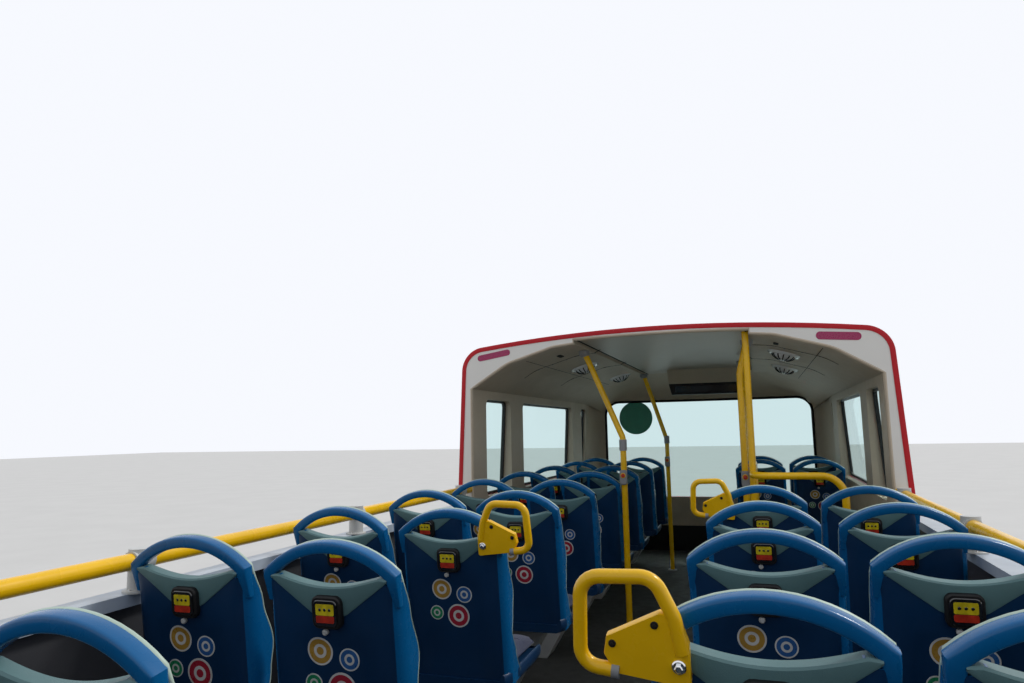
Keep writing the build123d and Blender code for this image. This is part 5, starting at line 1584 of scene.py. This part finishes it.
# Posts of the head rest, arm rest with its stay, and lever: both ends, radius, sides and look
SEAT_BARS = (
    ((-0.268, -0.055, 0.86), (-0.268, -0.055, 0.95), 0.006, 10, 2),
    ((-0.268, 0.055, 0.86), (-0.268, 0.055, 0.95), 0.006, 10, 2),
    ((-0.25, 0.222, 0.47), (0.06, 0.222, 0.47), 0.020, 14, 0),
    ((-0.25, 0.222, 0.47), (-0.25, 0.202, 0.37), 0.012, 10, 1),
    ((0.16, 0.18, 0.235), (0.22, 0.21, 0.235), 0.007, 8, 0),
)
base = Form()
base.turned([(0.150, 0.016), *FOLDS, (0.150, 0.216)], 36, 0, driver_place @ at((0.02, 0, 0)))
for *shape, place in SEAT_PLATES:
    base.slab(*shape, 1, driver_place @ place)
for start, end, radius, sides, look in SEAT_BARS:
    base.bar((DRIVER + Vector(start), DRIVER + Vector(end)), radius, sides, look)
made = base.show("driver_seat_base", ["black_plastic", "grey_plastic", "chrome"], "black_plastic")
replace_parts(made, "driver_seat")
# Pads: name, width, length, depth, crown, sewn lines, and place
DRIVER_PADS = (
    ("driver_cushion", 0.440, 0.440, 0.095, 0.012, (-0.15, 0.12), at((0.015, 0, 0.262))),
    ("driver_back", 0.400, 0.560, 0.060, 0.010, (-0.2, 0.0, 0.2), at((-0.274, 0, 0.615)) @ upright),
    ("driver_head_rest", 0.200, 0.140, 0.045, 0.006, (), at((-0.286, 0, 0.978)) @ upright),
)
for *shape, place in DRIVER_PADS:
    pad = spread(shape[0], pad_mesh(*shape), [driver_place @ place], "seat_pad")
    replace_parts(pad, "driver_seat")

# Cab instruments: a panel with blank dials and switches

# Dials: distance from the panel's middle, and radius
DIALS = ((-0.10, 0.055), (0.10, 0.055), (0.0, 0.034))
panel_place = facing((box_of("driver_controls")[0].x + 0.418, DRIVER.y, 1.00), (-1, 0, 0.55))
panel = Form().slab(0.46, 0.17, 0.03, 0.030, 0.008, 0, panel_place)
for u, radius in DIALS:
    dial = panel_place @ at((u, 0.0, 0.030))
    rim = ((radius, 0.0), (radius + 0.005, 0.006), (radius - 0.004, 0.008), (radius - 0.005, 0.001))
    panel.turned(rim, 28, 1, dial)
    panel.disc(radius - 0.004, 28, 0.002, 0, 2, dial)
    for turn in range(210, -31, -30):
        mark = dial @ turn_by(turn) @ at((radius * 0.78, 0, 0.002))
        panel.slab(radius * 0.16, 0.0022, 0.0005, 0.0006, 0, 3, mark, 1)
    needle = dial @ turn_by(215) @ at((radius * 0.32, 0, 0.003))
    panel.slab(radius * 0.72, 0.003, 0.001, 0.001, 0, 4, needle, 1)
for n in range(8):
    switch = panel_place @ at((-0.196 + 0.056 * n, -0.064, 0.030))
    panel.slab(0.030, 0.018, 0.003, 0.006, 0.002, 3 if n % 3 else 4, switch, 2)
dial_looks = ["black_plastic", "chrome", "gloss_black", "sticker_white", "label_red"]
panel.show("cab_instruments", dial_looks, "black_plastic")

# Stair nosings: a yellow strip along the edge of each tread, found by looking down on the stairs

STAIR_SCAN = 0.01
RISER_MIN = 0.10
stair_low, stair_high = box_of("staircase")
stair_skin = face_tree(mesh_of("staircase"))
stair_y = (stair_low.y + stair_high.y) / 2
heights = []
for n in range(int((stair_high.x - stair_low.x) / STAIR_SCAN)):
    x = stair_low.x + STAIR_SCAN / 2 + STAIR_SCAN * n
    spot = hit(stair_skin, (x, stair_y, stair_high.z + 0.05), DOWN)
    heights.append((x, spot.z if spot is not None else 0.0))
nosings = Form()
for (x_a, z_a), (x_b, z_b) in zip(heights, heights[1:]):
    if abs(z_a - z_b) < RISER_MIN:
        continue
    rearwards = 1 if z_a > z_b else -1
    top = at(((x_a + x_b) / 2 - rearwards * 0.022, stair_y, max(z_a, z_b)))
    nosings.slab(0.040, 0.600, 0.006, 0.004, 0.001, 0, top, 3)
    for dx in (-0.010, 0.0, 0.010):
        nosings.slab(0.004, 0.580, 0.0015, 0.0055, 0.001, 1, top @ at((dx, 0, 0)), 1)
nosings.show("stair_nosings", ["rail_yellow", "dark_rubber"], "rail_yellow")

# Underneath: two air tanks, the silencer with its tail pipe, and mud flaps

TANK_Z = 0.42
SILENCER_Y = -0.80
under = Form()
for y in (-0.76, 0.76):
    for x0, x1, radius in ((0.10, 0.78, 0.100), (0.05, 0.10, 0.070), (0.78, 0.83, 0.070)):
        under.bar(((x0, y, TANK_Z), (x1, y, TANK_Z)), radius, 24)
    for x in (0.22, 0.66):
        under.pin((x, y, TANK_Z), (0.018, 0, 0), 0.104, 24, 2)
under.bar(((-4.62, SILENCER_Y, TANK_Z), (-4.05, SILENCER_Y, TANK_Z)), 0.110, 28, 1)
for x in (-4.52, -4.15):
    under.pin((x, SILENCER_Y, TANK_Z), (0.015, 0, 0), 0.114, 28, 2)
tail = [(x, SILENCER_Y, z) for x, z in ((-4.60, 0.40), (-4.80, 0.38), (-4.98, 0.34), (-5.10, 0.30))]
under.bar(rounded(tail, 0.10, 4), 0.034, 18, 1)
under.show("under_fittings", ["chassis_black", "axle_iron", "pale_metal"], "chassis_black")
# Flaps behind the wheels: where along the bus, and their inner and outer edges
FLAPS = ((1.955, 0.93, 1.24), (-3.62, 0.66, 1.24))
flaps = Form()
for x, y0, y1 in FLAPS:
    for side in (1, -1):
        place = facing((x, side * (y0 + y1) / 2, 0.40), REARWARD)
        flaps.slab(y1 - y0, 0.36, 0.02, 0.008, 0.002, 0, place, 3)
        for n in range(-2, 3):
            rib = place @ at((n * (y1 - y0) / 5.5, -0.02, 0.006))
            flaps.slab(0.012, 0.28, 0.005, 0.005, 0.002, 0, rib, 2)
flaps.show("mud_flaps", ["dark_rubber"], "black_plastic")

# Ceiling of the lower deck: flat panels round the stair well, with lamp strips and joints between the panels

CEILING_Z = box_of("upper_floor")[0].z
PANEL_FACE = CEILING_Z - 0.004
CEILING_HALF = 1.205
WELL_START, WELL_END, WELL_EDGE = stair_low.x - 0.03, stair_high.x + 0.03, stair_high.y + 0.02
# Panels: from and to along the bus, and from and to across it
PANELS = (
    (-4.90, WELL_START, -CEILING_HALF, CEILING_HALF),
    (WELL_START, WELL_END, WELL_EDGE, CEILING_HALF),
    (WELL_END, 4.60, -CEILING_HALF, CEILING_HALF),
)
saloon = Form()
for x0, x1, y0, y1 in PANELS:
    place = facing(((x0 + x1) / 2, (y0 + y1) / 2, CEILING_Z), DOWN, FORWARD)
    saloon.slab(y1 - y0, x1 - x0, 0.004, 0.004, 0.001, 0, place, 1)
    count = round((x1 - x0) / 0.9)
    for n in range(1, count):
        x = x0 + (x1 - x0) * n / count
        saloon.bar(((x, y0 + 0.01, PANEL_FACE), (x, y1 - 0.01, PANEL_FACE)), 0.003, 6, 2)
for y in (-0.36, 0.46):
    for x in [-4.45 + 1.05 * n for n in range(9)]:
        if y > 0 or not WELL_START - 0.45 < x < WELL_END + 0.45:
            place = facing((x, y, PANEL_FACE), DOWN, FORWARD)
            saloon.slab(0.12, 0.86, 0.03, 0.010, 0.004, 0, place)
            saloon.slab(0.085, 0.82, 0.03, 0.016, 0.005, 1, place)
saloon.show("saloon_ceiling", ["saloon_white", "light_lens", "dark_rubber"], "white_paint")

# A square cover plate with a screw on one seat back beside the aisle

COVER_ROW_X = -0.87
cover_seat = min(groups["right_aisle"], key=lambda seat: abs(seat.x - COVER_ROW_X))
cover_place = at(cover_seat) @ recline @ facing((REAR_X - 0.001, 0.088, -0.108), REARWARD)
cover = Form().slab(0.044, 0.040, 0.003, 0.003, 0.001, 0, cover_place, 2)
cover.disc(0.0055, 12, 0.0045, 0.001, 1, cover_place @ at((0, 0.004, 0)))
cover.show("seat_cover_plate", ["cream_lining", "dark_rubber"], "cream_lining")

# Camera at the photographer's place, a seat on the open deck

PHOTO_WIDTH = 1024
FOCAL_PIXELS = 720.0
SENSOR = 36.0
EYE = Vector((-2.900, -0.531, 3.650))
yaw, pitch, roll = math.radians(18.67), math.radians(7.15), math.radians(-1.10)
ahead = Vector((math.cos(yaw) * math.cos(pitch), math.sin(yaw) * math.cos(pitch), math.sin(pitch)))
level = Vector((math.sin(yaw), -math.cos(yaw), 0))
square = level.cross(ahead)
right = math.cos(roll) * level + math.sin(roll) * square
up = -math.sin(roll) * level + math.cos(roll) * square
camera = bpy.data.objects.new("camera", bpy.data.cameras.new("camera"))
camera.matrix_world = at(EYE) @ Matrix((right, up, -ahead)).transposed().to_4x4()
camera.data.sensor_width = SENSOR
camera.data.lens = FOCAL_PIXELS / PHOTO_WIDTH * SENSOR
camera.data.clip_start = 0.02
camera.data.clip_end = 500.0
bpy.context.collection.objects.link(camera)
bpy.context.scene.camera = camera

# Floor, world and a soft sun

FLOOR_HALF = 150.0
AMBIENT = 0.68
SUN = 1.5
SUN_FROM = Vector((0.45, -0.65, 0.80))
floor_mesh = bpy.data.meshes.new("studio_floor")
corners = [(FLOOR_HALF * x, FLOOR_HALF * y, 0) for x, y in ((-1, -1), (1, -1), (1, 1), (-1, 1))]
floor_mesh.from_pydata(corners, [], [(0, 1, 2, 3)])
floor_mesh.materials.append(MATERIALS["studio_floor"])
studio_floor = bpy.data.objects.new("studio_floor", floor_mesh)
bpy.context.collection.objects.link(studio_floor)

world = bpy.data.worlds.new("studio")
bpy.context.scene.world = world
world.use_nodes = True
tree = world.node_tree
# The sky is dimmer as a light than where a camera, a mirror or a pane sees it
rays = tree.nodes.new("ShaderNodeLightPath")
seen = rays.outputs["Is Camera Ray"]
for kind in ("Is Glossy Ray", "Is Transmission Ray"):
    either = tree.nodes.new("ShaderNodeMath")
    either.operation = "MAXIMUM"
    tree.links.new(seen, either.inputs[0])
    tree.links.new(rays.outputs[kind], either.inputs[1])
    seen = either.outputs[0]
strength = tree.nodes.new("ShaderNodeMapRange")
strength.inputs["To Min"].default_value = AMBIENT
strength.inputs["To Max"].default_value = 1.0
tree.links.new(seen, strength.inputs["Value"])
tree.links.new(strength.outputs["Result"], tree.nodes["Background"].inputs["Strength"])
tree.nodes["Background"].inputs["Color"].default_value = (0.93, 0.95, 1.0, 1)
sun = bpy.data.objects.new("sun", bpy.data.lights.new("sun", "SUN"))
sun.data.energy = SUN
sun.data.angle = math.radians(12)
sun.data.color = (1.0, 0.97, 0.92)
sun.rotation_euler = SUN_FROM.to_track_quat("Z", "Y").to_euler()
bpy.context.collection.objects.link(sun)
bpy.context.scene.view_settings.view_transform = "Standard"
